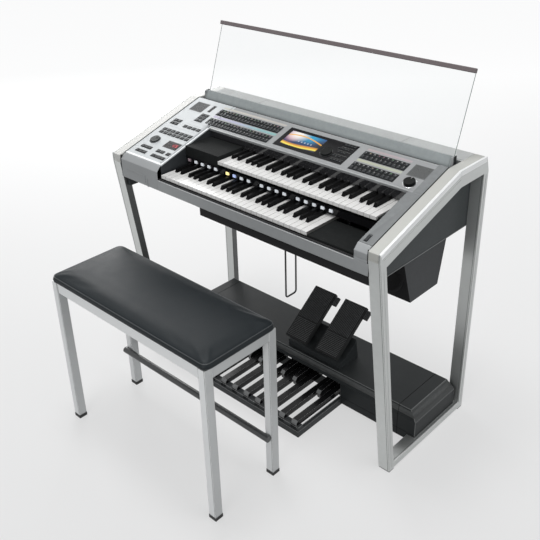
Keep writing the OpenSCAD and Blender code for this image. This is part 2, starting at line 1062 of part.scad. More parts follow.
module lower_key_chassis() {
    color("darkgray") key_chassis(lower_at, bed_d + 8, under_h + bed_t);
}

module upper_key_chassis() {
    color("darkgray") {
        key_chassis(upper_at, chassis_front, shelf_z - 4);
        // Cheeks that stand the upper chassis on the bottom board
        for (x = [upper_at[0], upper_at[0] + row_w - 3])
            translate([x, front_y + lower_d + key_len + 6, under_h + bed_t])
                cube([3, 90, shelf_z - 4 - under_h - bed_t + 1.5]);
    }
}

board_size = [420, 210];
board_x = -160;
supply_size = [120, 60];
supply_x = 58 - shell_x;

module main_board() {
    // The board stands on spacers behind the lower keys
    board_d = lower_d + key_len + 24;
    color("green") {
        translate([board_x, front_y + board_d, under_h + bed_t + 10])
            cube([board_size[0], board_size[1], 2]);
        for (x = [board_x + 15, board_x + board_size[0] - 15])
            for (d = [board_d + 10, board_d + board_size[1] - 20])
                translate([x, front_y + d, under_h + bed_t])
                    cylinder(d = 8, h = 10);
    }
    // Supply box beside the board, behind the mains inlet
    color("silver")
        translate([supply_x, front_y + board_d + 40, under_h + bed_t])
            cube([
                supply_size[0],
                body_d - 12 - board_d - 40 - wall,
                supply_size[1]
            ]);
}

// Music rest, drawn upright at its hinge and leaned back
channel_low = body_h - 25;
channel_front = panel_end_d + 2;
channel_back = rest_hinge[0] + 39;

module rest_channel() {
    color("gray") {
        plate(-rest_w / 2 - 4.5, rest_w / 2 + 4.5, [
            [channel_front, channel_low],
            [channel_front, body_h - wall],
            [channel_front + 3, body_h - wall],
            [channel_front + 3, channel_low + 3],
            [channel_back - 3, channel_low + 3],
            [channel_back - 3, body_h - wall],
            [channel_back, body_h - wall],
            [channel_back, channel_low]
        ]);
        // Upright lugs at both ends carry the rest's pins
        for (x0 = [rest_w / 2 + 0.5, -rest_w / 2 - 4.5 ])
            translate([x0, front_y + rest_hinge[0] - 9, channel_low + 3])
                difference() {
                    cube([4, 18, rest_hinge[1] + 9 - channel_low - 3]);
                    translate([-1, 9, rest_hinge[1] - channel_low - 3])
                        rotate([0, 90, 0])
                            cylinder(d = rest_pin_dia, h = 6);
                }
    }
}

module on_rest() {
    translate([0, front_y + rest_hinge[0], rest_hinge[1]])
        rotate([-rest_lean, 0, 0])
            children();
}

holder_up = 10;
sheet_back = 11;
sheet_low = -14;

module rest_holder() {
    color("gray")
        difference() {
            union() {
                on_rest()
                    translate([-rest_w / 2, -3, holder_up - holder_h])
                        cube([rest_w, holder_t, holder_h]);
                on_rest()
                    translate([-rest_w / 2 - 4.3, 0, 0])
                        rotate([0, 90, 0])
                            cylinder(d = rest_pin_dia - 0.1, h = rest_w + 8.6);
            }
            on_rest()
                translate([-rest_w / 2 + 2, sheet_back, sheet_low])
                    cube([rest_w - 4, sheet_t, 60]);
        }
}

module rest_sheet() {
    color("lightcyan", 0.4)
        on_rest()
            translate([-rest_w / 2 + 2, sheet_back, sheet_low])
                cube([rest_w - 4, sheet_t, rest_len - rest_bar_size[0] - sheet_low]);
}

module rest_top_bar() {
    color("dimgray")
        on_rest()
            translate([
                -rest_w / 2,
                sheet_back + sheet_t - rest_bar_size[1],
                rest_len - rest_bar_size[0]
            ])
                cube([rest_w, rest_bar_size[1], rest_bar_size[0]]);
}

// Speaker box: a tapered case with the driver behind its sloping front
box_wall = 10;
box_mid_x = (box_x[0] + box_x[1]) / 2;
box_h = under_h - box_low;
front_run = box_bottom[0] - box_top[0];
front_angle = atan(front_run / box_h);
driver_at = [(box_top[0] + box_bottom[0]) / 2, (under_h + box_low) / 2];

module at_driver() {
    translate([box_mid_x, front_y + driver_at[0], driver_at[1]])
        rotate([90 - front_angle, 0, 0])
            children();
}

module speaker_box() {
    color("dimgray")
        difference() {
            plate(box_x[0], box_x[1], [
                [box_top[0], under_h],
                [box_bottom[0], box_low],
                [box_bottom[1], box_low],
                [box_top[1], under_h]
            ]);
            plate(box_x[0] + box_wall, box_x[1] - box_wall, [
                [box_top[0] + box_wall + 4, under_h + 1],
                [box_bottom[0] + box_wall, box_low + box_wall],
                [box_bottom[1] - box_wall, box_low + box_wall],
                [box_top[1] - box_wall - 1, under_h + 1]
            ]);
            at_driver()
                translate([0, 0, -30])
                    cylinder(d = driver_dia - 12, h = 60);
            at_driver()
                translate([0, 0, -3])
                    cylinder(d = driver_dia + 0.4, h = 20);
        }
}

module speaker_driver() {
    color("black")
        at_driver()
            rotate_extrude()
                polygon([
                    [0, -38],
                    [22, -38],
                    [22, -22],
                    [driver_dia / 2 - 8, -6],
                    [driver_dia / 2 - 8, -3],
                    [driver_dia / 2, -3],
                    [driver_dia / 2, 0],
                    [driver_dia / 2 - 8, 0],
                    [driver_dia / 2 - 10, -3],
                    [14, -20],
                    [0, -17]
                ]);
}

// Knee lever: a bent wire that hangs from a barrel under the bottom board
knee_pin_dia = 5;
knee_barrel = 13;
knee_pivot_z = under_h - 12;
knee_pivot_in = 8;
knee_bend = 10;

module knee_lever() {
    length = knee_d[1] - knee_d[0];
    color("black")
        translate([knee_x, front_y + knee_d[0], 0]) {
            translate([0, knee_pivot_in + 6.3, knee_pivot_z])
                rotate([-90, 0, 0])
                    cylinder(d = knee_barrel, h = length - 2 * knee_pivot_in - 12.6);
            translate([0, 0, knee_pivot_z])
                rotate([-90, 0, 0])
                    cylinder(d = knee_pin_dia - 0.1, h = length);
            for (d = [0, length])
                translate([0, d, knee_low + knee_bend])
                    cylinder(d = knee_wire, h = knee_pivot_z - knee_low - knee_bend + 3);
            translate([0, knee_bend, knee_low])
                rotate([-90, 0, 0])
                    cylinder(d = knee_wire, h = length - 2 * knee_bend);
            translate([0, knee_bend, knee_low + knee_bend])
                rotate([0, -90, 0])
                    rotate([0, 0, 180])
                        rotate_extrude(angle = 90)
                            translate([knee_bend, 0])
                                circle(d = knee_wire);
            translate([0, length - knee_bend, knee_low + knee_bend])
                rotate([0, -90, 0])
                    rotate([0, 0, 90])
                        rotate_extrude(angle = 90)
                            translate([knee_bend, 0])
                                circle(d = knee_wire);
        }
}

// Pedal base: a bevelled hood over the side rails, open underneath
pedal_left_x = pedal_last_x - (pedals - 1) * pedal_pitch - pedal_margin;
pedal_right_x = pedal_last_x + pedal_margin;
hood_shoulder = base_h - base_bevel_h;

module hood(shrink) {
    left = base_ends[0] + shrink;
    right = base_ends[1] - shrink;
    intersection() {
        plate(left, right, [
            [base_faces[0] + shrink, base_up - shrink],
            [base_faces[0] + shrink, hood_shoulder],
            [base_faces[0] + base_bevel[0] + shrink, base_h - shrink],
            [base_faces[1] - base_bevel[1] - shrink, base_h - shrink],
            [base_faces[1] - shrink, hood_shoulder],
            [base_faces[1] - shrink, base_up - shrink]
        ]);
        translate([0, front_y + base_faces[1] + 10, 0])
            rotate([90, 0, 0])
                linear_extrude(base_faces[1] - base_faces[0] + 20)
                    polygon([
                        [left, base_up - shrink - 1],
                        [left, hood_shoulder],
                        [left + base_end_bevel[0], base_h],
                        [right - base_end_bevel[1], base_h],
                        [right, hood_shoulder],
                        [right, base_up - shrink - 1]
                    ]);
    }
}

module pedal_base() {
    color("darkslategray")
        difference() {
            hood(0);
            hood(wall);
            // Shoulder that sits on the right floor rail
            translate([inner_x, front_y + base_faces[0] - 1, 0])
                cube([tube_w + 1, base_faces[1] - base_faces[0] + 2, rail_top]);
            // Window for the pedals
            translate([pedal_left_x - 0.4, front_y + base_faces[0] - 1, 0])
                cube([
                    pedal_right_x - pedal_left_x + 0.8,
                    wall + 8,
                    hood_shoulder - 2
                ]);
        }
}

// Pedalboard frame: slotted front bar, side rails and the pivot rail inside the base
bar_w = 26;
bar_low_h = 25;
bar_high_h = 44;
slot_low = 26;
side_rail = [12, 31];
pivot_rail_d = pedal_ends[1] - 12;
pedal_pivot_dia = 8;
pedal_pivot_up = 2;
function pedal_x(i) = pedal_last_x - (pedals - 1 - i) * pedal_pitch;
// The lowest pedal is a C, so the same sharps follow the same naturals as in the manuals
function pedal_has_sharp(i) = i < pedals - 1 && len(search(i % 7, octave_sharps)) > 0;

pedal_low = pedal_z[0] - pedal_z[1];

module pedal_pivot(dia, beyond) {
    translate([
        pedal_left_x - beyond,
        front_y + pivot_rail_d + 4,
        pedal_low + pedal_pivot_up
    ])
        rotate([0, 90, 0])
            cylinder(d = dia, h = pedal_right_x - pedal_left_x + 2 * beyond);
}

module pedalboard_frame() {
    color("dimgray")
        difference() {
            union() {
                translate([pedal_left_x, front_y + bar_d, 0])
                    cube([pedal_right_x - pedal_left_x, bar_w, bar_low_h]);
                translate([pedal_left_x, front_y + bar_d + 3, bar_low_h - 1])
                    cube([
                        pedal_right_x - pedal_left_x,
                        bar_w - 3,
                        bar_high_h - bar_low_h + 1
                    ]);
                for (x = [pedal_left_x, pedal_right_x - side_rail[0]])
                    translate([x, front_y + bar_d + bar_w - 1, 0])
                        cube([
                            side_rail[0],
                            pivot_rail_d - bar_d - bar_w + 9,
                            side_rail[1]
                        ]);
                // Pivot rail: a web with a round top that the pedals rest on
                plate(pedal_left_x, pedal_right_x, [
                    [pivot_rail_d, 0],
                    [pivot_rail_d, pedal_low - 6],
                    [pivot_rail_d + 1.5, pedal_low - 5],
                    [pivot_rail_d + 1.5, pedal_low + pedal_pivot_up],
                    [pivot_rail_d + 6.5, pedal_low + pedal_pivot_up],
                    [pivot_rail_d + 6.5, pedal_low - 5],
                    [pivot_rail_d + 8, pedal_low - 6],
                    [pivot_rail_d + 8, 0]
                ]);
                pedal_pivot(pedal_pivot_dia, 0);
            }
            for (i = [0 : pedals - 1])
                translate([pedal_x(i) - pedal_w / 2 - 1, front_y + bar_d - 1, slot_low])
                    cube([pedal_w + 2, bar_w + 2, 40]);
        }
}

module natural_pedals() {
    color("black")
        difference() {
            for (i = [0 : pedals - 1])
                plate(pedal_x(i) - pedal_w / 2, pedal_x(i) + pedal_w / 2, [
                    [pedal_ends[0], pedal_low + 4],
                    [pedal_ends[0], pedal_z[0] - 8],
                    [pedal_ends[0] + 8, pedal_z[0]],
                    [pedal_ends[1], pedal_z[0]],
                    [pedal_ends[1], pedal_low],
                    [pedal_ends[0] + 4, pedal_low]
                ]);
            pedal_pivot(pedal_pivot_dia + 0.1, 1);
        }
}

module sharp_pedals() {
    color("black")
        difference() {
            for (i = [0 : pedals - 2])
                if (pedal_has_sharp(i))
                    plate(
                        pedal_x(i) + pedal_pitch / 2 - pedal_sharp_w / 2,
                        pedal_x(i) + pedal_pitch / 2 + pedal_sharp_w / 2,
                        [
                            [pedal_sharp_at[0] + 8, pedal_low],
                            [pedal_sharp_at[0], pedal_sharp_at[1] - 14],
                            [pedal_sharp_at[0] + 10, pedal_sharp_at[1] - 3],
                            [pedal_ends[1], pedal_sharp_at[1] + 2],
                            [pedal_ends[1], pedal_low]
                        ]
                    );
            pedal_pivot(pedal_pivot_dia + 0.1, 1);
        }
}

// Expression pedals on a housing that stands on the base
shoe_pivot = [345, 212];
toe_size = [18, 36, 12];
toe_along = 184;
toe_pins = [toe_along + 9, toe_along + 27];
toe_pin_dia = 6;
toe_pin_len = 16;
toe_travel = 3.4;
housing_x = [shoe_x[0] - 2, shoe_x[1] + shoe_w + 2];
ear_t = 8;
lug_w = 40;

module expression_housing() {
    color("black") {
        difference() {
            plate(housing_x[0], housing_x[1], [
                [shoe_heel[0] + 20, base_h],
                [shoe_heel[0] + 20, base_h + 22],
                [shoe_pivot[0] - 16, base_h + 34],
                [shoe_pivot[0] + 38, base_h + 66],
                [shoe_pivot[0] + 51, base_h + 85],
                [shoe_pivot[0] + 64, base_h]
            ]);
            for (x = shoe_x)
                translate([
                    x + shoe_w / 2 - lug_w / 2 - 1,
                    front_y + shoe_pivot[0] - 26,
                    base_h + 12
                ])
                    cube([lug_w + 2, 76, 120]);
        }
        // Ears and pin of each pedal's hinge
        for (x = shoe_x)
            difference() {
                union() {
                    for (s = [-1, 1])
                        translate([
                            x + shoe_w / 2 + s * (lug_w / 2 + 1 + ear_t / 2) - ear_t / 2,
                            0,
                            0
                        ])
                            plate(0, ear_t, [
                                [shoe_pivot[0] - 12, base_h + 20],
                                [shoe_pivot[0] - 9, shoe_pivot[1] + 6],
                                [shoe_pivot[0], shoe_pivot[1] + 9],
                                [shoe_pivot[0] + 9, shoe_pivot[1] + 6],
                                [shoe_pivot[0] + 14, base_h + 20]
                            ]);
                    translate([
                        x + shoe_w / 2 - lug_w / 2 - 1 - ear_t,
                        front_y + shoe_pivot[0],
                        shoe_pivot[1]
                    ])
                        rotate([0, 90, 0])
                            cylinder(d = shoe_pin_dia, h = lug_w + 2 + 2 * ear_t);
                }
            }
    }
}

module on_shoe(x) {
    translate([x, front_y + shoe_heel[0], shoe_heel[1]])
        rotate([shoe_tilt, 0, 0])
            children();
}

module expression_pedal(x) {
    color("black")
        difference() {
            union() {
                on_shoe(x)
                    translate([0, 0, -shoe_t])
                        cube([shoe_w, shoe_len, shoe_t]);
                translate([x + shoe_w / 2 - lug_w / 2, 0, 0])
                    plate(0, lug_w, [
                        [shoe_pivot[0] - 11, shoe_pivot[1] - 2],
                        [shoe_pivot[0] - 11, shoe_pivot[1] + 18],
                        [shoe_pivot[0] + 13, shoe_pivot[1] + 36],
                        [shoe_pivot[0] + 11, shoe_pivot[1] - 2],
                        [shoe_pivot[0] + 5, shoe_pivot[1] - 10],
                        [shoe_pivot[0] - 5, shoe_pivot[1] - 10]
                    ]);
            }
            translate([
                x + shoe_w / 2 - lug_w / 2 - 1,
                front_y + shoe_pivot[0],
                shoe_pivot[1]
            ])
                rotate([0, 90, 0])
                    cylinder(d = shoe_pin_dia + 0.1, h = lug_w + 2);
            for (along = toe_pins)
                on_shoe(x + shoe_w - toe_pin_len)
                    translate([0, along, -shoe_t / 2])
                        rotate([0, 90, 0])
                            cylinder(d = toe_pin_dia + 0.1, h = toe_pin_len + 1);
        }
}

module left_expression_pedal() {
    expression_pedal(shoe_x[0]);
}

module right_expression_pedal() {
    expression_pedal(shoe_x[1]);
}

module toe_switch(x) {
    color("black")
        on_shoe(x + shoe_w + toe_travel) {
            translate([0, toe_along, -shoe_t / 2 - toe_size[2] / 2])
                cube(toe_size);
            // Pins that slide in the pedal's side
            for (along = toe_pins)
                translate([-toe_travel - toe_pin_len + 4.4, along, -shoe_t / 2])
                    rotate([0, 90, 0])
                        cylinder(d = toe_pin_dia, h = toe_pin_len);
        }
}

module left_toe_switch() {
    toe_switch(shoe_x[0]);
}

module right_toe_switch() {
    toe_switch(shoe_x[1]);
}

// Bench
bench_front = -total_d / 2 + (seat[1] - bench_frame_size[1]) / 2;
bench_left = bench_x - bench_frame_size[0] / 2;

module bench_leg_places() {
    for (x = [bench_left, bench_left + bench_frame_size[0] - bench_tube])
        for (y = [bench_front, bench_front + bench_frame_size[1] - bench_tube])
            translate([x, y, 0])
                children();
}

module bench_frame() {
    color("silver") {
        bench_leg_places()
            translate([0, 0, cap_h])
                cube([bench_tube, bench_tube, bench_h - cap_h]);
        for (y = [bench_front, bench_front + bench_frame_size[1] - bench_tube])
            translate([bench_left + bench_tube, y + 2, bench_h - apron_h])
                cube([bench_frame_size[0] - 2 * bench_tube, bench_tube - 4, apron_h]);
        for (x = [bench_left, bench_left + bench_frame_size[0] - bench_tube])
            translate([x + 2, bench_front + bench_tube, bench_h - apron_h])
                cube([bench_tube - 4, bench_frame_size[1] - 2 * bench_tube, apron_h]);
    }
    color("black")
        bench_leg_places()
            translate([-1, -1, 0])
                cube([bench_tube + 2, bench_tube + 2, cap_h]);
}

module bench_stretcher() {
    // A round bar set against the rear legs
    color("dimgray")
        translate([
            bench_left + 4,
            bench_front + bench_frame_size[1] - bench_tube - stretcher_dia / 2 - 0.1,
            stretcher_z
        ])
            rotate([0, 90, 0])
                cylinder(d = stretcher_dia, h = bench_frame_size[0] - 8);
}

// The cushion is a crowned pad whose sides draw in; ring points follow a rounded rectangle
pad_rings = 11;
pad_corner = 24;
pad_side = 10;
function pad_level(t) = t < 0.36
    ? [t / 0.36 * cushion_t[0], 4 - 4 * sin(180 * t / 0.36)]
    : [
        cushion_t[0] + (cushion_t[1] - cushion_t[0]) * sin(90 * (t - 0.36) / 0.64),
        4 + 140 * (1 - cos(90 * (t - 0.36) / 0.64)) * (t - 0.36) / 0.64
    ];
function pad_ring(inset, z) = [
    for (c = [0 : 3])
        for (k = [0 : pad_side - 1])
            let (
                a = c * 90 + 90 * k / (pad_side - 1),
                r = max(pad_corner - inset / 4, 6),
                sx = (c == 0 || c == 3) ? 1 : -1,
                sy = (c < 2) ? 1 : -1
            )
                [
                    sx * (seat[0] / 2 - inset - r) + r * cos(a),
                    sy * (seat[1] / 2 - min(inset, seat[1] / 2 - r - 1) - r) + r * sin(a),
                    z
                ]
];

module bench_cushion() {
    rings = [
        for (i = [0 : pad_rings - 1])
            let (l = pad_level(i / (pad_rings - 1)))
                pad_ring(l[1], l[0])
    ];
    n = 4 * pad_side;
    points = [for (r = rings) for (p = r) p];
    faces = concat(
        [[for (k = [0 : n - 1]) k]],
        [
            for (i = [0 : pad_rings - 2])
                for (k = [0 : n - 1])
                    [i * n + k, (i + 1) * n + k, (i + 1) * n + (k + 1) % n]
        ],
        [
            for (i = [0 : pad_rings - 2])
                for (k = [0 : n - 1])
                    [i * n + k, (i + 1) * n + (k + 1) % n, i * n + (k + 1) % n]
        ],
        [[for (k = [n - 1 : -1 : 0]) (pad_rings - 1) * n + k]]
    );
    color("darkslategray")
        translate([bench_x, -total_d / 2 + seat[1] / 2, bench_h + seat_gap])
            polyhedron(points, faces);
}

left_side_frame();
right_side_frame();
arm_covers();
frame_foot_pads();
side_panels();
bottom_board();
front_tray();
rear_cover();
top_cover();
front_rail();
key_slip();
left_end_block();
right_end_block();
left_panel();
centre_panel();
right_cheek();
key_well_walls();
panel_riser();
key_blocks();
registration_fascia();
registration_buttons();
button_bezels();
voice_buttons();
rhythm_buttons();
left_panel_buttons();
display_frame();
display_screen();
display_buttons();
data_dial();
volume_knob();
tempo_dial();
power_button();
led_readout();
tweeter_grilles();
lower_key_chassis();
upper_key_chassis();
lower_naturals();
lower_sharps();
upper_naturals();
upper_sharps();
main_board();
rest_channel();
rest_holder();
rest_sheet();
rest_top_bar();
speaker_box();
speaker_driver();
knee_lever();
pedal_base();
pedalboard_frame();
natural_pedals();
sharp_pedals();
expression_housing();
left_expression_pedal();
right_expression_pedal();
left_toe_switch();
right_toe_switch();
bench_frame();
bench_cushion();
bench_stretcher();
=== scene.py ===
# A two-manual electronic organ on open silver side frames, with its pedals and bench,
# dressed in the order in which it is put together.
import json
import math
import bmesh
import bpy
from mathutils import Matrix, Vector


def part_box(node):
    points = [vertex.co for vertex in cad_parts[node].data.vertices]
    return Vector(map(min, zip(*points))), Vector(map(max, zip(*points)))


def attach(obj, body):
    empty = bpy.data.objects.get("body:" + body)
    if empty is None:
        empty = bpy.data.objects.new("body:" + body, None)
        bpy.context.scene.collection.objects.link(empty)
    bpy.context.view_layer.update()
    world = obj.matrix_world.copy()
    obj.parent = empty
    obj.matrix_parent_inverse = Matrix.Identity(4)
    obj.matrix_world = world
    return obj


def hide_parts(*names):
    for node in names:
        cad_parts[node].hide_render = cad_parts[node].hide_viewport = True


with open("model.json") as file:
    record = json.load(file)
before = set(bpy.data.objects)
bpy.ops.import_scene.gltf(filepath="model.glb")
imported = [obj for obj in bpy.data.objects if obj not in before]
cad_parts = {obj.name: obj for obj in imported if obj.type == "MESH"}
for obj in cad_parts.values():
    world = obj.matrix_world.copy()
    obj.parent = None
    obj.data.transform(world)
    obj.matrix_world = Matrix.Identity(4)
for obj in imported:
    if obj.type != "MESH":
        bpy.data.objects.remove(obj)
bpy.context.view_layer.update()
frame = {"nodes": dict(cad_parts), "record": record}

# The camera
# A long lens from the player's right, well above the manuals, turned a little off level.
azimuth, elevation, roll = math.radians(43.45), math.radians(27.76), math.radians(-1.30)
eye = Vector((1.69518, -1.63895, 1.92892))
picture_pixels, focal_pixels, centre_pixels = 540, 776.80, (275.14, 241.18)
toward = Vector((
    math.sin(azimuth) * math.cos(elevation),
    -math.cos(azimuth) * math.cos(elevation),
    math.sin(elevation),
))
level = (-toward).cross(Vector((0, 0, 1))).normalized()
upright = level.cross(-toward)
right = math.cos(roll) * level + math.sin(roll) * upright
above = -math.sin(roll) * level + math.cos(roll) * upright
camera = bpy.data.objects.new("camera", bpy.data.cameras.new("camera"))
bpy.context.scene.collection.objects.link(camera)
camera.matrix_world = Matrix.Translation(eye) @ Matrix((right, above, toward)).transposed().to_4x4()
camera.data.sensor_width = 36
camera.data.lens = focal_pixels / picture_pixels * camera.data.sensor_width
camera.data.shift_x = (picture_pixels / 2 - centre_pixels[0]) / picture_pixels
camera.data.shift_y = (centre_pixels[1] - picture_pixels / 2) / picture_pixels
camera.data.clip_start, camera.data.clip_end = 0.05, 200
bpy.context.scene.camera = camera
bpy.context.scene.view_settings.view_transform = "Standard"


# The studio
# A pale seamless floor that fades to white behind the organ, under broad soft lamps.
def feed(tree, node, values):
    # Links each named input of a node to a socket, or sets it to a value
    for label, value in values.items():
        if isinstance(value, bpy.types.NodeSocket):
            tree.links.new(value, node.inputs[label])
        else:
            node.inputs[label].default_value = value
    return node


def wired(tree, kind, values=None, **settings):
    # A new node with its settings made and its inputs fed
    node = tree.nodes.new(kind)
    for name, value in settings.items():
        setattr(node, name, value)
    return feed(tree, node, values or {})


def sum_node(tree, operation, first, second=None, third=None, clamp=False):
    # A sum of up to three values or sockets
    given = {k: value for k, value in enumerate((first, second, third)) if value is not None}
    return wired(tree, "ShaderNodeMath", given, operation=operation, use_clamp=clamp).outputs[0]


def span(tree, value, low=0.0, high=1.0, to_low=0.0, to_high=1.0):
    # A value taken from one range to another
    limits = {"From Min": low, "From Max": high, "To Min": to_low, "To Max": to_high}
    return wired(tree, "ShaderNodeMapRange", {"Value": value, **limits}).outputs["Result"]


def object_place(tree):
    # The place on the object itself, which patterns follow
    return wired(tree, "ShaderNodeTexCoord").outputs["Object"]


def seen_directly(tree):
    # One where the camera sees the surface straight, mirrored or through clear sheet, else nought
    path = wired(tree, "ShaderNodeLightPath").outputs
    value = path["Is Camera Ray"]
    for label in ("Is Glossy Ray", "Is Transmission Ray"):
        value = sum_node(tree, "MAXIMUM", value, path[label])
    return value


world = bpy.data.worlds.new("studio")
bpy.context.scene.world = world
world.use_nodes = True
sky = world.node_tree
sky.nodes.clear()
sky_light = wired(sky, "ShaderNodeBackground", {"Color": (0.96, 0.98, 1, 1), "Strength": 0.50})
sky_seen = wired(sky, "ShaderNodeBackground", {"Color": (1, 1, 1, 1)})
sky_mix = wired(sky, "ShaderNodeMixShader", {
    0: seen_directly(sky), 1: sky_light.outputs[0], 2: sky_seen.outputs[0],
})
wired(sky, "ShaderNodeOutputWorld", {"Surface": sky_mix.outputs[0]})

floor_mesh = bpy.data.meshes.new("studio_floor")
floor_mesh.from_pydata([(-60, -60, 0), (60, -60, 0), (60, 60, 0), (-60, 60, 0)], [], [(0, 1, 2, 3)])
floor = bpy.data.objects.new("studio_floor", floor_mesh)
bpy.context.scene.collection.objects.link(floor)
floor_paint = bpy.data.materials.new("studio_floor")
floor_paint.use_nodes = True
tree = floor_paint.node_tree
tree.nodes.clear()
away_from_camera = (-0.688, 0.726, 0)
distance = wired(
    tree, "ShaderNodeVectorMath", {0: object_place(tree), 1: away_from_camera}, operation="DOT_PRODUCT"
)
# The floor glows where it is seen straight or mirrored, dimmer near the camera and brighter far behind:
# painted light that fades it to white, over a grey diffuse part that takes the lamps' shadows
near_end, far_end, near_glow, far_glow = -1.5, 4.3, 0.47, 0.84
fade = span(tree, distance.outputs["Value"], near_end, far_end, near_glow, far_glow)
glow = wired(tree, "ShaderNodeEmission", {"Strength": sum_node(tree, "MULTIPLY", seen_directly(tree), fade)})
matt = wired(tree, "ShaderNodeBsdfDiffuse", {"Color": (0.24, 0.24, 0.24, 1)})
both = wired(tree, "ShaderNodeAddShader", {0: matt.outputs[0], 1: glow.outputs[0]})
wired(tree, "ShaderNodeOutputMaterial", {"Surface": both.outputs[0]})
floor_mesh.materials.append(floor_paint)

for lamp_name, place, aim, width, watts in (
    ("lamp_high", (-0.3, -0.2, 4.2), (0, 0, 0.5), 1.0, 60),
    ("lamp_right", (3.4, 0.6, 2.4), (0.2, 0, 0.5), 2.4, 32),
    ("lamp_front", (1.1, -3.7, 2.0), (0, -0.2, 0.6), 1.8, 44),
    ("lamp_back", (-3.6, 2.0, 2.3), (-0.4, -0.4, 0.6), 1.6, 50),
):
    lamp = bpy.data.objects.new(lamp_name, bpy.data.lights.new(lamp_name, "AREA"))
    lamp.data.shape = "SQUARE"
    lamp.data.size = width
    lamp.data.energy = watts
    lamp.location = place
    lamp.rotation_mode = "QUATERNION"
    lamp.rotation_quaternion = (Vector(aim) - Vector(place)).to_track_quat("-Z", "Y")
    bpy.context.scene.collection.objects.link(lamp)

# Side frames
# Two open frames of silver aluminium section, mitred and welded, satin anodised, with a
# groove drawn along the middle of each outer face; the rails stand on rubber pads.
bodies_of = {
    node: body
    for body, members in frame["record"]["behaviour"]["bodies"].items()
    for node in members
}
slots_of = {entry["node"]: entry["material_slot"] for entry in frame["record"]["subparts"]}
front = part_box("left_side_frame")[0].y


def at(x, depth, height):
    # A place in millimetres: across, back from the front of the arms, and up
    return Vector((x / 1000, front + depth / 1000, height / 1000))


def noise(tree, place, scale, detail=2):
    # Cloudy noise over the piece
    values = {"Vector": place, "Scale": scale, "Detail": detail}
    return wired(tree, "ShaderNodeTexNoise", values).outputs["Fac"]


def over(tree, below, colour, mask):
    # Lays a colour over what is below, by a mask
    if isinstance(below, tuple):
        below = (*below, 1)
    values = {"Factor": mask, "A": below, "B": (*colour, 1)}
    return wired(tree, "ShaderNodeMix", values, data_type="RGBA").outputs["Result"]


def blank(name):
    # A new material, its tree and its plastic shader
    paint = bpy.data.materials.new(name)
    paint.use_nodes = True
    return paint, paint.node_tree, paint.node_tree.nodes["Principled BSDF"]


def shader_group(name, numbers, outputs):
    # A group with named number inputs and the outputs asked for
    group = bpy.data.node_groups.new(name, "ShaderNodeTree")
    for label, value in numbers.items():
        socket = group.interface.new_socket(label, in_out="INPUT", socket_type="NodeSocketFloat")
        socket.default_value = value
    for label, kind in outputs.items():
        group.interface.new_socket(label, in_out="OUTPUT", socket_type=kind)
    return group, group.nodes.new("NodeGroupInput").outputs, group.nodes.new("NodeGroupOutput")


# Fine grain: a cloudy value, a fine value and a bumped height, for paint and moulded plastic
grain, given, result = shader_group(
    "surface_grain", {"Fine Scale": 900, "Cloud Scale": 7, "Fine Depth": 0.3},
    {"Cloud": "NodeSocketFloat", "Fine": "NodeSocketFloat", "Normal": "NodeSocketVector"},
)
place = object_place(grain)
fine = noise(grain, place, given["Fine Scale"])
cloud = noise(grain, place, given["Cloud Scale"], 5)
bump = wired(grain, "ShaderNodeBump", {"Strength": given["Fine Depth"], "Distance": 0.0004, "Height": fine})
feed(grain, result, {"Cloud": cloud, "Fine": fine, "Normal": bump.outputs["Normal"]})

# Edge wear and painted highlight: a mask that is bright along outer edges, broken up by noise; it lightens
# edges both as rubbed paint and as the highlight that edges catch
wear_and_highlight, given, result = shader_group("edge_wear_and_highlight", {"Amount": 0.5, "Break Up": 60}, {"Mask": "NodeSocketFloat"})
outer_edges = span(wear_and_highlight, wired(wear_and_highlight, "ShaderNodeNewGeometry").outputs["Pointiness"], 0.52, 0.62)
broken = sum_node(wear_and_highlight, "MULTIPLY", outer_edges, noise(wear_and_highlight, object_place(wear_and_highlight), given["Break Up"]))
feed(wear_and_highlight, result, {"Mask": sum_node(wear_and_highlight, "MULTIPLY", broken, given["Amount"], clamp=True)})

# Dust and handling: soft patches that lie on faces turned upwards, and long faint rubs
rubs, given, result = shader_group(
    "dust_and_rubs", {"Dust": 0.2, "Rubs": 0.3}, {"Dust": "NodeSocketFloat", "Rubs": "NodeSocketFloat"}
)
place = object_place(rubs)
facing = wired(rubs, "ShaderNodeSeparateXYZ", {0: wired(rubs, "ShaderNodeNewGeometry").outputs["Normal"]})
lying = sum_node(rubs, "MULTIPLY", facing.outputs["Z"], noise(rubs, place, 9, 6), clamp=True)
drawn_out = wired(rubs, "ShaderNodeMapping", {"Vector": place, "Scale": (6, 90, 90)}).outputs[0]
streaks = span(rubs, noise(rubs, drawn_out, 3, 4), 0.58, 0.75)
feed(rubs, result, {
    "Dust": sum_node(rubs, "MULTIPLY", lying, given["Dust"]),
    "Rubs": sum_node(rubs, "MULTIPLY", streaks, given["Rubs"]),
})


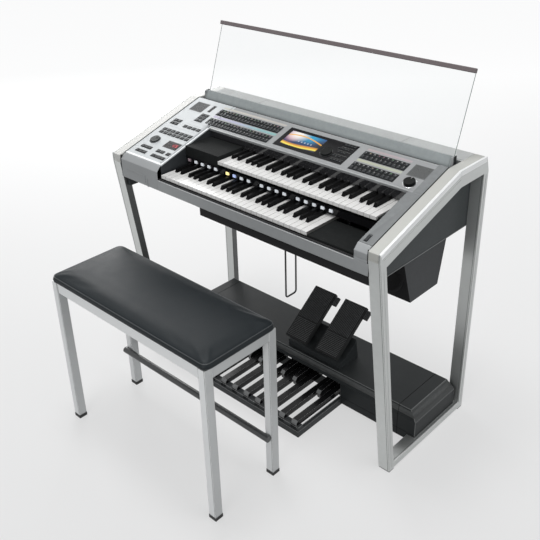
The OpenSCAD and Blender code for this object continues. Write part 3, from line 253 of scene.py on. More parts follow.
def finish(
    name, dark, light, rough, metal=0.0, coat=0.0, shine=0.5, grain_size=900, grain_depth=0.3,
    wear_highlight=0.4, dusty=0.04,
):
    # A painted, moulded or metal finish: two close colours, cloudy gloss, grain, dust, and outer edges
    # lightened both as wear and as painted highlight
    paint, tree, shader = blank(name)
    skin = {"Fine Scale": grain_size, "Cloud Scale": 6, "Fine Depth": grain_depth}
    texture = wired(tree, "ShaderNodeGroup", skin, node_tree=grain).outputs
    worn_highlight = wired(tree, "ShaderNodeGroup", {"Amount": wear_highlight}, node_tree=wear_and_highlight).outputs
    handled = wired(tree, "ShaderNodeGroup", {"Dust": dusty, "Rubs": 0.25}, node_tree=rubs).outputs
    wear_highlight_edge, dust_grey = [min(1, c * 1.5 + 0.03) for c in light], (0.45, 0.44, 0.42)
    tint = over(tree, dark, light, texture["Cloud"])
    tint = over(tree, over(tree, tint, wear_highlight_edge, worn_highlight["Mask"]), dust_grey, handled["Dust"])
    gloss = span(tree, texture["Fine"], to_low=rough * 0.88, to_high=min(1, rough * 1.12))
    feed(tree, shader, {
        "Base Color": tint, "Roughness": sum_node(tree, "MULTIPLY_ADD", handled["Rubs"], 0.3, gloss),
        "Normal": texture["Normal"], "Metallic": metal, "Specular IOR Level": shine,
        "Coat Weight": coat, "Coat Roughness": 0.08,
    })
    return paint


def keep(obj, material, body, slot):
    # The piece gets its material and rides on its body; its slot is not used
    obj.data.materials.clear()
    obj.data.materials.append(material)
    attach(obj, body)
    return obj


bevelled_from, sharp_from = math.radians(28), math.radians(42)


def settled(obj):
    # Applies the piece's modifiers to its mesh
    depsgraph = bpy.context.evaluated_depsgraph_get()
    finished = bpy.data.meshes.new_from_object(obj.evaluated_get(depsgraph))
    obj.modifiers.clear()
    obj.data = finished
    return obj


def placed(name, shell):
    # The drawn faces made a mesh and an object
    mesh = bpy.data.meshes.new(name)
    shell.to_mesh(mesh)
    shell.free()
    obj = bpy.data.objects.new(name, mesh)
    bpy.context.scene.collection.objects.link(obj)
    return obj


def rounded(obj, width, segments, cutter=None):
    # Rounds the edges, cuts any grooves, then settles the shading so that flat faces stay flat
    if width:
        bevel = obj.modifiers.new("edges", "BEVEL")
        bevel.width = width
        bevel.segments = segments
        bevel.limit_method = "ANGLE"
        bevel.angle_limit = bevelled_from
        bevel.miter_outer = "MITER_ARC"
        settled(obj)
    if cutter:
        bmesh.ops.recalc_face_normals(cutter, faces=cutter.faces)
        tool = placed("groove_tool", cutter)
        cut = obj.modifiers.new("grooves", "BOOLEAN")
        cut.operation = "DIFFERENCE"
        cut.solver = "EXACT"
        cut.object = tool
        settled(obj)
        bpy.data.objects.remove(tool)
        for polygon in obj.data.polygons:
            polygon.use_smooth = True
        obj.data.set_sharp_from_angle(angle=sharp_from)
    normals = obj.modifiers.new("shading", "WEIGHTED_NORMAL")
    normals.keep_sharp = True
    return settled(obj)


def dressed(node, material, width=0.0008, segments=2, cutter=None):
    # A node's own shape with its edges rounded, in place of the node
    name = node + "_dressed"
    one_point, one_plane, sharp_node = 0.00002, math.radians(0.6), math.radians(50)
    mesh = frame["nodes"][node].data.copy()
    mesh.name = name
    shell = bmesh.new()
    shell.from_mesh(mesh)
    bmesh.ops.remove_doubles(shell, verts=shell.verts, dist=one_point)
    bmesh.ops.dissolve_limit(shell, angle_limit=one_plane, verts=shell.verts, edges=shell.edges)
    for face in shell.faces:
        face.smooth = True
    shell.to_mesh(mesh)
    shell.free()
    mesh.set_sharp_from_angle(angle=sharp_node)
    obj = bpy.data.objects.new(name, mesh)
    bpy.context.scene.collection.objects.link(obj)
    if width or cutter:
        rounded(obj, width, segments, cutter)
    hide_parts(node)
    return keep(obj, material, bodies_of[node], slots_of[node])


def made(name, shell, material, body="console", slot="black_plastic", width=0.0):
    # A piece of the scene's own, closed and turned outwards, with its edges rounded
    bmesh.ops.recalc_face_normals(shell, faces=shell.faces)
    for face in shell.faces:
        face.smooth = True
    obj = placed(name, shell)
    obj.data.set_sharp_from_angle(angle=sharp_from)
    rounded(obj, width, segments=2)
    return keep(obj, material, body, slot)


def painted(obj, *rules):
    # Faces that pass a rule's test take its material; where several tests hold, the first counts
    before = len(obj.data.materials)
    for material, _ in rules:
        obj.data.materials.append(material)
    for face in obj.data.polygons:
        passed = [k for k, (_, test) in enumerate(rules) if test(face)]
        if passed:
            face.material_index = before + passed[0]
    return obj


def slab(shell, low, high, turned=None):
    # A box between two corners in millimetres, in a turned frame or in the organ's own
    middle = [(a + b) / 2000 for a, b in zip(low, high)]
    size = [(b - a) / 1000 for a, b in zip(low, high)]
    lie = turned if turned is not None else Matrix.Translation((0, front, 0))
    place = lie @ Matrix.Translation(middle) @ Matrix.Diagonal((*size, 1))
    bmesh.ops.create_cube(shell, size=1, matrix=place)


def boxes(*corners, turned=None):
    # Boxes between pairs of corners, drawn together
    shell = bmesh.new()
    for low, high in corners:
        slab(shell, low, high, turned)
    return shell


def bar(shell, start, end, width, height):
    # A straight bar of rectangular section between two places
    along = end - start
    lie = Matrix.Translation((start + end) / 2) @ along.to_track_quat("Z", "Y").to_matrix().to_4x4()
    size = (width / 1000, height / 1000, along.length, 1)
    bmesh.ops.create_cube(shell, size=1, matrix=lie @ Matrix.Diagonal(size))


def surface_band(name, obj, axis, value, wide, material, slot, body="console", proud=0.0003):
    # A narrow band that follows a piece's surface all round, for an open joint or a line
    axis = Vector(axis)
    shell = bmesh.new()
    shell.from_mesh(obj.data)
    for sign in (-1, 1):
        bmesh.ops.bisect_plane(
            shell, geom=shell.verts[:] + shell.edges[:] + shell.faces[:],
            plane_co=axis * (value + sign * wide / 2), plane_no=axis * sign, clear_outer=True,
        )
    band = placed(name, shell)
    wall = band.modifiers.new("wall", "SOLIDIFY")
    wall.thickness = 2 * proud
    wall.offset = 0
    settled(band)
    return keep(band, material, body, slot)


silver_paint = finish(
    "silver_paint", (0.52, 0.535, 0.53), (0.58, 0.595, 0.585), 0.36, metal=0.82, grain_size=1500,
    grain_depth=0.10, wear_highlight=0.6,
)
# A pale finish for strips and bevels along the frames' edges: a painted highlight
highlight_edge = finish(
    "highlight_edge", (0.72, 0.73, 0.73), (0.80, 0.81, 0.81), 0.3, metal=0.4, grain_size=1500, wear_highlight=0.2,
)
corner_line = finish(
    "corner_line", (0.07, 0.075, 0.075), (0.10, 0.105, 0.105), 0.5, grain_size=1500, wear_highlight=0.0, dusty=0.0,
)
# A dark copy of the silver for the frames' inboard faces: painted shade, as under the console
inner_shade_paint = finish(
    "inner_shade_paint", (0.085, 0.088, 0.088), (0.115, 0.118, 0.118), 0.4, metal=0.6, grain_size=1500,
    grain_depth=0.10,
)
outer_face, foot_high, leg_low, leg_high = 615, 0.06, 0.02, 0.83
drawn_grooves = (
    ((17, 826), (122, 20)), ((14, 864), (404, 982)), ((562, 950), (562, 24)), ((150, 19), (544, 19)),
)
for node, side in (("left_side_frame", -1), ("right_side_frame", 1)):
    grooves = bmesh.new()
    for start, end in drawn_grooves:
        bar(grooves, at(side * outer_face, *start), at(side * outer_face, *end), 3.0, 2.6)
    section = dressed(node, silver_paint, 0.0025, 3, cutter=grooves)
    # The inboard faces take painted shade, the rounded edges near the feet a painted highlight, and the leg
    # corners a dark joint line
    painted(
        section,
        (inner_shade_paint, lambda face: face.normal.x * side < -0.9),
        (highlight_edge, lambda face: (
            min(abs(face.normal.x), face.normal.z) > 0.3 and face.center.z < foot_high
        )),
        (corner_line, lambda face: (
            min(abs(face.normal.x), abs(face.normal.y)) > 0.3 and abs(face.normal.z) < 0.2
            and leg_low < face.center.z < leg_high
        )),
    )
    surface_band(
        f"{node}_line", section, (1, 0, 0), side * 0.609, 0.0013, corner_line, "frame_silver", proud=0.0002
    )

# Arm covers
# Pale moulded covers along the tops of both arms, with a fine pebbled skin, the left one painted paler as
# painted light;
# pale strips outside them and along the floor rails' top edges, and near-white bands on the arms' outer
# faces, are painted highlights.
cover_skin = finish(
    "cover_skin", (0.42, 0.422, 0.395), (0.47, 0.473, 0.447), 0.5, metal=0.1, grain_size=2200,
    grain_depth=0.35, wear_highlight=0.3,
)
# A paler copy of the cover skin for the left arm's cover: painted light, the left cover catching more light
# from the back left
cover_skin_lit = finish(
    "cover_skin_lit", (0.52, 0.52, 0.50), (0.58, 0.58, 0.56), 0.45, metal=0.1, grain_size=2200,
    grain_depth=0.35, wear_highlight=0.3,
)
# A near-white band along each arm's outer face below its top: a painted highlight where the outer faces catch
# the light
flank_highlight = finish(
    "flank_highlight", (0.86, 0.87, 0.87), (0.91, 0.92, 0.92), 0.4, shine=0.4, grain_size=1500, wear_highlight=0.1,
    dusty=0.0,
)
cover_middle, highlight_strip_middle, rail_highlight = 588, 610.6, 613.6
bend, arm_top, below_top = 402, 1009.2, Vector((0, 0, -0.009))
seams = bmesh.new()
highlight_strips = bmesh.new()
flank_highlights = bmesh.new()
for side in (-1, 1):
    inner, outer = side * (cover_middle - 20), side * (cover_middle + 20)
    slab(seams, (min(inner, outer), 0, 860), (max(inner, outer), 1.2, 861.2))
    bar(seams, at(inner, bend, 1009), at(outer, bend, 1009), 1.0, 1.6)
    for start, end in (((3, 886.2), (bend, arm_top)), ((bend, arm_top), (559, arm_top))):
        bar(highlight_strips, at(side * highlight_strip_middle, *start), at(side * highlight_strip_middle, *end), 8.4, 1.0)
        flank_start, flank_end = at(side * outer_face, *start), at(side * outer_face, *end)
        bar(flank_highlights, flank_start + below_top, flank_end + below_top, 0.2, 15)
    # A pale strip along each floor rail's top edge: a painted highlight
    slab(highlight_strips, (side * rail_highlight - 1.4, 140, 33.6), (side * rail_highlight + 1.4, 546, 34.3))
tops = dressed("arm_covers", cover_skin, 0.0025, 3, cutter=seams)
painted(tops, (cover_skin_lit, lambda face: face.center.x < 0))
# The strips outside the arm covers: a painted highlight along the arms' chamfers
made("arm_highlight_strips", highlight_strips, highlight_edge, slot="frame_silver", width=0.0003)
made("arm_flank_highlights", flank_highlights, flank_highlight, slot="frame_silver")

# Foot pads
# Thin black rubber pads under the ends of the legs.
foot_rubber = finish("foot_rubber", (0.018, 0.018, 0.018), (0.03, 0.03, 0.03), 0.75, grain_size=600)
dressed("frame_foot_pads", foot_rubber, 0.0008)

# Console case
# Charcoal laminate sides with a grey strip let in along the lower edge, a black bottom
# board and tray, and a steel rear cover held by rows of small screws.
charcoal = finish(
    "charcoal_laminate", (0.036, 0.041, 0.043), (0.047, 0.053, 0.055), 0.42, shine=0.15, grain_size=1800,
    dusty=0.02,
)
black_board = finish(
    "black_board", (0.012, 0.012, 0.013), (0.020, 0.020, 0.021), 0.5, shine=0.12, grain_size=1200,
)
# A bright finish for the volume knob's pointer, and for the painted highlight along the front rail
pointer_and_highlight = finish(
    "pointer_and_highlight", (0.62, 0.63, 0.63), (0.70, 0.71, 0.71), 0.3, metal=0.7, grain_size=1500,
    grain_depth=0.05,
)
screw_steel = finish(
    "screw_steel", (0.16, 0.16, 0.165), (0.24, 0.24, 0.245), 0.35, metal=0.9, grain_size=2500,
)
trim_grey = finish("trim_grey", (0.12, 0.125, 0.125), (0.17, 0.175, 0.175), 0.4, metal=0.4)
dressed("side_panels", charcoal, 0.001)
for node in ("bottom_board", "front_tray", "rear_cover"):
    dressed(node, black_board, 0.001)
panel_face = 570.6
strips = [((side * panel_face - 0.6, 58, 757.4), (side * panel_face + 0.6, 546, 760.4)) for side in (-1, 1)]
made("side_trim_strips", boxes(*strips), trim_grey, width=0.0003)


def copying_tree(name, numbers):
    # A tree that takes a shape, the numbers asked for and a material
    tree = bpy.data.node_groups.new(name, "GeometryNodeTree")
    tree.interface.new_socket("Geometry", in_out="INPUT", socket_type="NodeSocketGeometry")
    for label, kind, value in numbers:
        tree.interface.new_socket(label, in_out="INPUT", socket_type=kind).default_value = value
    tree.interface.new_socket("Material", in_out="INPUT", socket_type="NodeSocketMaterial")
    tree.interface.new_socket("Geometry", in_out="OUTPUT", socket_type="NodeSocketGeometry")
    return tree, tree.nodes.new("NodeGroupInput").outputs


def realised(tree, given, copies):
    # The copies made real and given their material, at the end of a tree
    real = wired(tree, "GeometryNodeRealizeInstances", {"Geometry": copies}).outputs["Geometry"]
    paint = wired(tree, "GeometryNodeSetMaterial", {"Geometry": real, "Material": given["Material"]})
    wired(tree, "NodeGroupOutput", {"Geometry": paint.outputs["Geometry"]})
    return tree


def rows_tree():
    # Copies of one small shape in rows and columns: the shape, how many, how far apart, its material
    tree, given = copying_tree("rows_and_columns", (
        ("Columns", "NodeSocketInt", 4), ("Rows", "NodeSocketInt", 1),
        ("Column Step", "NodeSocketVector", (0.02, 0, 0)), ("Row Step", "NodeSocketVector", (0, 0.02, 0)),
    ))
    shape = given["Geometry"]
    for count, step in (("Columns", "Column Step"), ("Rows", "Row Step")):
        values = {"Count": given[count], "Offset": given[step]}
        line = wired(tree, "GeometryNodeMeshLine", values, mode="OFFSET").outputs["Mesh"]
        copies = wired(tree, "GeometryNodeInstanceOnPoints", {"Points": line, "Instance": shape})
        shape = copies.outputs["Instances"]
    return realised(tree, given, shape)


rows_and_columns = rows_tree()


def copied(name, shell, tree, values):
    # The shape drawn in shell, copied by a tree and made one mesh
    bmesh.ops.recalc_face_normals(shell, faces=shell.faces)
    obj = placed(name, shell)
    copies = obj.modifiers.new("copies", "NODES")
    copies.node_group = tree
    for item in tree.interface.items_tree:
        if item.in_out == "INPUT" and item.name in values:
            copies[item.identifier] = values[item.name]
    return settled(obj)


def repeated(
    name, shell, material, columns, rows, column_step, row_step, body="console", slot="black_plastic",
):
    # The shape drawn in shell, repeated in rows and columns
    values = {"Columns": columns, "Rows": rows, "Column Step": column_step, "Row Step": row_step}
    obj = copied(name, shell, rows_and_columns, {**values, "Material": material})
    return keep(obj, material, body, slot)


def screw(shell, place, facing, radius=3.2):
    # A pan-head screw standing on a surface
    high = 1.2
    lie = Matrix.Translation(place) @ facing.to_track_quat("Z", "Y").to_matrix().to_4x4()
    bmesh.ops.create_cone(
        shell, cap_ends=True, segments=14, radius1=radius / 1000, radius2=radius * 0.72 / 1000,
        depth=high / 1000, matrix=lie @ Matrix.Translation((0, 0, high / 2000)),
    )


screws = bmesh.new()
screw(screws, at(-545, 572, 775), Vector((0, 1, 0)))
repeated("rear_cover_screws", screws, screw_steel, 9, 2, (0.13625, 0, 0), (0, 0, 0.168))
screws = bmesh.new()
screw(screws, at(-540, 70, 757.0), Vector((0, 0, -1)), radius=3.6)
repeated("bottom_board_screws", screws, screw_steel, 8, 2, (0.12, 0, 0), (0, 0.47, 0))

# Top cover
# A pale silver pressing that bends down over the rear edge, with a seam along its front.
top_skin = finish(
    "top_skin", (0.52, 0.53, 0.525), (0.57, 0.58, 0.57), 0.6, shine=0.15, grain_size=2200, wear_highlight=0.2,
)
lid_joint = finish(
    "lid_joint", (0.05, 0.052, 0.052), (0.07, 0.072, 0.072), 0.6, shine=0.1, wear_highlight=0.0, dusty=0.0,
)
lid = dressed("top_cover", top_skin, 0.002, 3)
for name, axis, value, wide in (
    ("top_cover_seam", (0, 1, 0), at(0, 486.5, 0).y, 0.001),
    ("top_cover_joint_0", (1, 0, 0), -0.33, 0.0008),
    ("top_cover_joint_1", (1, 0, 0), 0.33, 0.0008),
):
    surface_band(name, lid, axis, value, wide, lid_joint, "top_light", proud=0.0002)

# Front rail and end blocks
# Mid-grey satin mouldings along the front of the case, with a black slip before the keys
# and a pale strip along the rail's top, a painted highlight. The left block has a shallow
# recess for its pull and a joint beside it, with black strips in their bottoms as painted shade.
grey_skin = finish(
    "grey_skin", (0.285, 0.295, 0.30), (0.335, 0.345, 0.35), 0.42, metal=0.15, shine=0.3, grain_size=2200,
    wear_highlight=0.5,
)
dressed("front_rail", grey_skin, 0.0016, 3)
seams = boxes(((-536, 0.5, 837.4), (-430, 4.5, 840.8)), ((-418.5, 0.5, 799), (-417.5, 3.5, 830)))
dressed("left_end_block", grey_skin, 0.0016, 3, cutter=seams)
# Black strips in the bottoms of the pull's groove and of the joint: painted shade
pull_shade = boxes(((-535.8, 3.9, 837.5), (-430.2, 4.7, 840.7)), ((-430.6, 1.8, 812), (-429.8, 2.6, 840.7)))
made("pull_recess_shade", pull_shade, black_board)
seam = boxes(((517, 0.5, 850.6), (567, 3.2, 851.4)))
dressed("right_end_block", grey_skin, 0.0016, 3, cutter=seam)
dressed("key_slip", black_board, 0.001)
# A darker copy of the grey moulding for the right cheek and the panel's right end: painted shade, for the
# darker reflections there
shaded_cheek_skin = finish(
    "shaded_cheek_skin", (0.145, 0.153, 0.156), (0.175, 0.184, 0.187), 0.42, metal=0.15, shine=0.25,
    grain_size=2200, wear_highlight=0.5,
)
dressed("right_cheek", shaded_cheek_skin, 0.0012)
# A pale strip along the top of the front rail: a painted highlight
rail_highlight_strip = boxes(((-360, 1.4, 840.2), (517, 2.4, 841.2)))
made("front_rail_highlight", rail_highlight_strip, pointer_and_highlight, width=0.0002)

# Control panels
# A very pale panel at the left and a silver-grey one behind the manuals, both of fine
# textured moulding with printed strips, white strips along the left panel's front and inner
# edges that are a painted highlight, and a grey lip over the key well.
slope, slope_foot, panel_recess = math.atan2(124, 402), 885, 2.0


def on_slope(x, depth, up=0.0):
    # A frame that lies on the panels: x across, y up the slope, z out of the panel
    foot = at(x, depth, slope_foot + depth * math.tan(slope))
    lie = Matrix.Translation(foot) @ Matrix.Rotation(slope, 4, "X")
    return lie @ Matrix.Translation((0, 0, (up - panel_recess) / 1000))


def up_slope(depth):
    # A step up the panels that goes so far back
    return Vector((0, depth, depth * math.tan(slope))) / 1000


def flat_on_slope(shell, x0, x1, d0, d1, up, thick):
    # A thin plate lying on a panel, between two sides and two depths
    length = (d1 - d0) / math.cos(slope)
    slab(shell, (0, 0, 0), (x1 - x0, length, thick), turned=on_slope(x0, d0, up))


def laid(name, material, plates, width=0.0):
    # Thin plates lying on the panels, made one piece
    shell = bmesh.new()
    for plate in plates:
        flat_on_slope(shell, *plate)
    made(name, shell, material, width=width)


pale_skin = finish(
    "pale_skin", (0.46, 0.482, 0.49), (0.52, 0.54, 0.55), 0.4, metal=0.05, shine=0.3, grain_size=2400,
    grain_depth=0.12, wear_highlight=0.2,
)
panel_skin = finish(
    "panel_skin", (0.255, 0.262, 0.265), (0.31, 0.318, 0.322), 0.4, metal=0.25, shine=0.3,
    grain_size=2400, grain_depth=0.15,
)
seams = bmesh.new()
slab(seams, (0, 0, 0), (204, 0.8, 3), turned=on_slope(-565.5, 40, -0.8))
slab(seams, (0, 0, 0), (0.8, 390, 3), turned=on_slope(-371, 30, -0.6))
dressed("left_panel", pale_skin, 0.0006, cutter=seams)
seams = bmesh.new()
slab(seams, (0, 0, 0), (926, 0.8, 3), turned=on_slope(-361, 396, -0.6))
slab(seams, (0, 0, 0), (926, 0.8, 3), turned=on_slope(-361, 270, -0.6))
dressed("centre_panel", panel_skin, 0.0006, cutter=seams)
# White strips along the left panel's rounded edges: a painted highlight
rim_highlight = finish("rim_highlight", (0.78, 0.80, 0.81), (0.86, 0.87, 0.88), 0.3, coat=0.2)
rim_highlights = ((-369, -362.2, 25, 262, 0.05, 0.5), (-565, -362, 25, 33, 0.05, 0.4))
laid("left_panel_rim_highlight", rim_highlight, rim_highlights, width=0.0002)
lip_grey = finish("lip_grey", (0.30, 0.31, 0.31), (0.36, 0.37, 0.37), 0.35, metal=0.4)
laid("centre_panel_lip", lip_grey, [(-360, 517, 263.6, 268.2, 0.0, 0.6)], width=0.0003)
seal_black = finish(
    "seal_black", (0.004, 0.004, 0.004), (0.007, 0.007, 0.007), 0.7, shine=0.05, wear_highlight=0.0, dusty=0.0,
)
seal, seal_middle, half_seal = bmesh.new(), 568, 2.1
for side in (-1, 1):
    x0, x1 = side * seal_middle - half_seal, side * seal_middle + half_seal
    flat_on_slope(seal, x0, x1, 24, 407, -0.3, 0.5)
    slab(seal, (x0, 4, 801), (x1, 7, 886))
flat_on_slope(seal, -565, 565, 405.4, 407.6, -0.2, 0.5)
made("case_seals", seal, seal_black)
# A darker strip laid over the right end of the centre panel: painted shade
laid("centre_panel_end_shade", shaded_cheek_skin, [(534, 565.6, 264.5, 407, 0.15, 0.3)])

black_gloss = finish(
    "black_gloss", (0.005, 0.005, 0.006), (0.009, 0.009, 0.010), 0.15, coat=0.06, shine=0.1,
    grain_size=600, grain_depth=0.02, wear_highlight=0.1, dusty=0.0,
)
matt_black = finish(
    "matt_black", (0.012, 0.013, 0.014), (0.018, 0.019, 0.020), 0.45, shine=0.1, grain_size=1600,
    wear_highlight=0.2, dusty=0.01,
)
well_black = finish(
    "well_black", (0.028, 0.031, 0.034), (0.038, 0.042, 0.046), 0.38, shine=0.15, grain_size=1800,
    wear_highlight=0.3, dusty=0.0,
)


def shaded_strip(name, stops, low, high):
    # Printed film whose colour runs from stop to stop across the panel
    film, tree, shader = blank(name)
    place = object_place(tree)
    across = wired(tree, "ShaderNodeSeparateXYZ", {0: place}).outputs["X"]
    ramp = wired(tree, "ShaderNodeValToRGB", {"Fac": span(tree, across, low, high)})
    first, last = ramp.color_ramp.elements
    first.position, first.color = stops[0][0], (*stops[0][1], 1)
    last.position, last.color = stops[-1][0], (*stops[-1][1], 1)
    for position, colour in stops[1:-1]:
        ramp.color_ramp.elements.new(position).color = (*colour, 1)
    gloss = span(tree, noise(tree, place, 1500), to_low=0.35, to_high=0.45)
    feed(tree, shader, {"Base Color": ramp.outputs["Color"], "Roughness": gloss})
    return film


voice_strips, rhythm_strips = (-403, -84, -0.40, -0.08), (277, 449, 0.27, 0.45)
near_strip, far_strip = (323.0, 333.5), (381.5, 390)
for name, film, (x0, x1, low, high), (depth0, depth1), stops in (
    ("voice_strip_lower", "strip_lavender_to_teal", voice_strips, near_strip, [
        (0.0, (0.36, 0.33, 0.44)), (0.4, (0.35, 0.36, 0.47)), (0.7, (0.22, 0.38, 0.40)),
        (1.0, (0.20, 0.39, 0.38)),
    ]),
    ("voice_strip_upper", "strip_cream_to_rose", voice_strips, far_strip, [
        (0.0, (0.46, 0.45, 0.40)), (0.5, (0.45, 0.42, 0.38)), (1.0, (0.42, 0.39, 0.36)),
    ]),
    ("rhythm_strip_lower", "strip_lime", rhythm_strips, near_strip, [
        (0.0, (0.40, 0.41, 0.31)), (1.0, (0.38, 0.40, 0.32)),
    ]),
    ("rhythm_strip_upper", "strip_rose", rhythm_strips, far_strip, [
        (0.0, (0.38, 0.31, 0.31)), (1.0, (0.36, 0.30, 0.32)),
    ]),
):
    laid(name, shaded_strip(film, stops, low, high), [(x0, x1, depth0, depth1, 0.0, 0.3)], width=0.0001)

# Key well
# Satin walls beside the manuals, a polished fascia and riser that mirror the keys, and
# the blocks at the ends of both manuals.
dressed("key_well_walls", well_black, 0.0008)
block_black = finish(
    "block_black", (0.007, 0.008, 0.008), (0.012, 0.013, 0.013), 0.65, shine=0.05, grain_size=1600,
    wear_highlight=0.3, dusty=0.0,
)
dressed("key_blocks", block_black, 0.0012)
riser_gloss = finish(
    "riser_gloss", (0.022, 0.022, 0.024), (0.030, 0.030, 0.032), 0.1, coat=0.8, shine=0.6, grain_size=600,
    grain_depth=0.02, wear_highlight=0.1, dusty=0.0,
)
dressed("panel_riser", riser_gloss, 0.0008)
dressed("registration_fascia", black_gloss, 0.0008)

# Button fields
# Moulded dark caps that stand through black bezels; in the two long fields each has a small
# lamp window and a printed tick, and the ticks glow faintly, painted light. The registration
# row between the manuals has white caps that glow faintly all over, painted light, and
# three caps of their own colour, two of them lit.
dark_button = finish(
    "dark_button", (0.013, 0.015, 0.017), (0.021, 0.024, 0.026), 0.35, shine=0.2, grain_size=1500,
    wear_highlight=0.5, dusty=0.01,
)
dressed("button_bezels", matt_black, 0.0)
for node in ("voice_buttons", "rhythm_buttons", "left_panel_buttons", "display_buttons", "power_button"):
    dressed(node, dark_button, 0.0008)


def lit_marks(name, colours, strength):
    # Small lamps and prints whose colour changes from one cell to the next; all of them glow, which on the
    # prints is painted light
    cell = 0.016
    lamp, tree, shader = blank(name)
    cells = {0: object_place(tree), 1: (cell, cell * 2.4, 10)}
    place = wired(tree, "ShaderNodeVectorMath", cells, operation="SNAP").outputs[0]
    chance = wired(tree, "ShaderNodeTexWhiteNoise", {"Vector": place}).outputs["Value"]
    ramp = wired(tree, "ShaderNodeValToRGB", {"Fac": chance})
    ramp.color_ramp.interpolation = "CONSTANT"
    ramp.color_ramp.elements[0].color = (*colours[0], 1)
    ramp.color_ramp.elements[1].position = 1 - 1 / len(colours)
    ramp.color_ramp.elements[1].color = (*colours[-1], 1)
    for k, colour in enumerate(colours[1:-1]):
        ramp.color_ramp.elements.new((k + 1) / len(colours)).color = (*colour, 1)
    colour = ramp.outputs["Color"]
    feed(tree, shader, {"Base Color": colour, "Roughness": 0.4})
    feed(tree, shader, {"Emission Color": colour, "Emission Strength": strength})
    return lamp


window_lamps = lit_marks("window_lamps", [
    (0.20, 0.20, 0.21), (0.34, 0.34, 0.33), (0.12, 0.26, 0.12), (0.26, 0.10, 0.14), (0.16, 0.16, 0.17),
    (0.30, 0.25, 0.15),
], 0.3)
# The printed ticks glow faintly as well: painted light
printed_ticks = lit_marks("printed_ticks", [
    (0.22, 0.22, 0.22), (0.12, 0.12, 0.12), (0.30, 0.29, 0.28), (0.10, 0.10, 0.10),
], 0.1)
for field, x0, pitch, columns in (("voice", -406, 16.0, 20), ("rhythm", 274, 17.6, 10)):
    for part, depth, length, wide, material in (
        ("windows", 308, 2.2, 4.6, window_lamps), ("ticks", 290, 6.0, 1.2, printed_ticks)
    ):
        first_place = on_slope(x0 + pitch / 2, depth)
        mark = boxes(((-wide / 2, 0, 2.35), (wide / 2, length, 2.75)), turned=first_place)
        repeated(
            f"{field}_{part}", mark, material, columns, 2, (pitch / 1000, 0, 0), up_slope(59),
            body=bodies_of[f"{field}_buttons"], slot="button_dark",
        )

# Dark surrounds under the left panel's caps, drawn group by group
surround = finish(
    "surround_dark", (0.014, 0.015, 0.016), (0.022, 0.023, 0.024), 0.4, shine=0.15, grain_size=1600,
    wear_highlight=0.2,
)
for k, (x0, depth, columns, rows, pitch, step) in enumerate((
    (-540, 170, 7, 2, 23.5, 18), (-537, 50, 3, 2, 19, 27), (-450, 77, 2, 1, 22, 18), (-396, 77, 1, 1, 22, 18),
    (-449, 50, 4, 1, 18, 18), (-472, 231, 4, 1, 24, 18), (-544, 230, 2, 2, 21, 18), (-460, 279, 2, 3, 20, 17),
)):
    plate = boxes(((-1.6, -2.6, 0), (min(pitch, 19) - 1.0, 13.4, 0.9)), turned=on_slope(x0, depth))
    steps = (pitch / 1000, 0, 0), up_slope(step)
    repeated(f"surround_{k}", plate, surround, columns, rows, *steps, slot="button_dark")


# The registration row's caps: white ones with a faint painted glow, and three that are rose or lit
def glowing_cap(name, dark, light, glow_colour, glow, wear_highlight=0.0):
    # A cap that glows in the colour given; on the white caps the faint glow is painted light
    cap = finish(name, dark, light, 0.3, coat=0.2, grain_size=700, grain_depth=0.05, wear_highlight=wear_highlight)
    cap_shader = cap.node_tree.nodes["Principled BSDF"]
    feed(cap.node_tree, cap_shader, {"Emission Color": (*glow_colour, 1), "Emission Strength": glow})
    return cap


# White caps with a faint glow all over: painted light
white_cap = glowing_cap(
    "white_button", (0.66, 0.69, 0.72), (0.74, 0.77, 0.80), (0.80, 0.84, 0.90), 0.25, wear_highlight=0.1
)
row_of_caps, half_cap = dressed("registration_buttons", white_cap, 0.0006), 0.009
for name, colour, glow, cap_x in (
    ("cap_rose", (0.36, 0.28, 0.31), 0.0, -0.3415),
    ("cap_lit_amber", (1.0, 0.80, 0.34), 0.9, -0.1441),
    ("cap_lit_blue", (0.50, 0.60, 0.95), 0.4, -0.1097),
):
    cap = glowing_cap(name, colour, colour, colour, glow)
    painted(row_of_caps, (cap, lambda face: abs(face.center.x - cap_x) < half_cap))

# Printed lines
# Hairlines and a pale box, printed to gather the left panel's buttons into groups.
line_print = finish("line_print", (0.30, 0.31, 0.32), (0.36, 0.37, 0.38), 0.5, wear_highlight=0.0, dusty=0.0)
box_grey = finish("box_grey", (0.42, 0.44, 0.45), (0.48, 0.50, 0.51), 0.42, wear_highlight=0.1)
hairlines = (
    (-540, -390, 216), (-470, -380, 252), (-462, -380, 302), (-545, -470, 95), (-545, -470, 320),
    (-470, -390, 86),
)
laid("left_panel_lines", line_print, [(x0, x1, depth, depth + 0.8, 0.0, 0.12) for x0, x1, depth in hairlines])
laid("left_panel_boxes", box_grey, [(-474, -384, 268, 296, 0.0, 0.25)], width=0.0001)

# Display
# A gloss black console let into the panel, with a bright picture screen, rows of small
# keys and a data dial in a fine ring. The picture is a plain design of soft light and waves.
dressed("display_frame", black_gloss, 0.0008)
picture, pt, screen_face = blank("screen_picture")
screen_low, screen_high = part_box("display_screen")
screen_size = screen_high - screen_low
screen_place = wired(pt, "ShaderNodeSeparateXYZ", {0: object_place(pt)}).outputs
picture_x = sum_node(pt, "DIVIDE", sum_node(pt, "SUBTRACT", screen_place["X"], screen_low.x), screen_size.x)
picture_y = sum_node(pt, "DIVIDE", sum_node(pt, "SUBTRACT", screen_place["Y"], screen_low.y), screen_size.y)


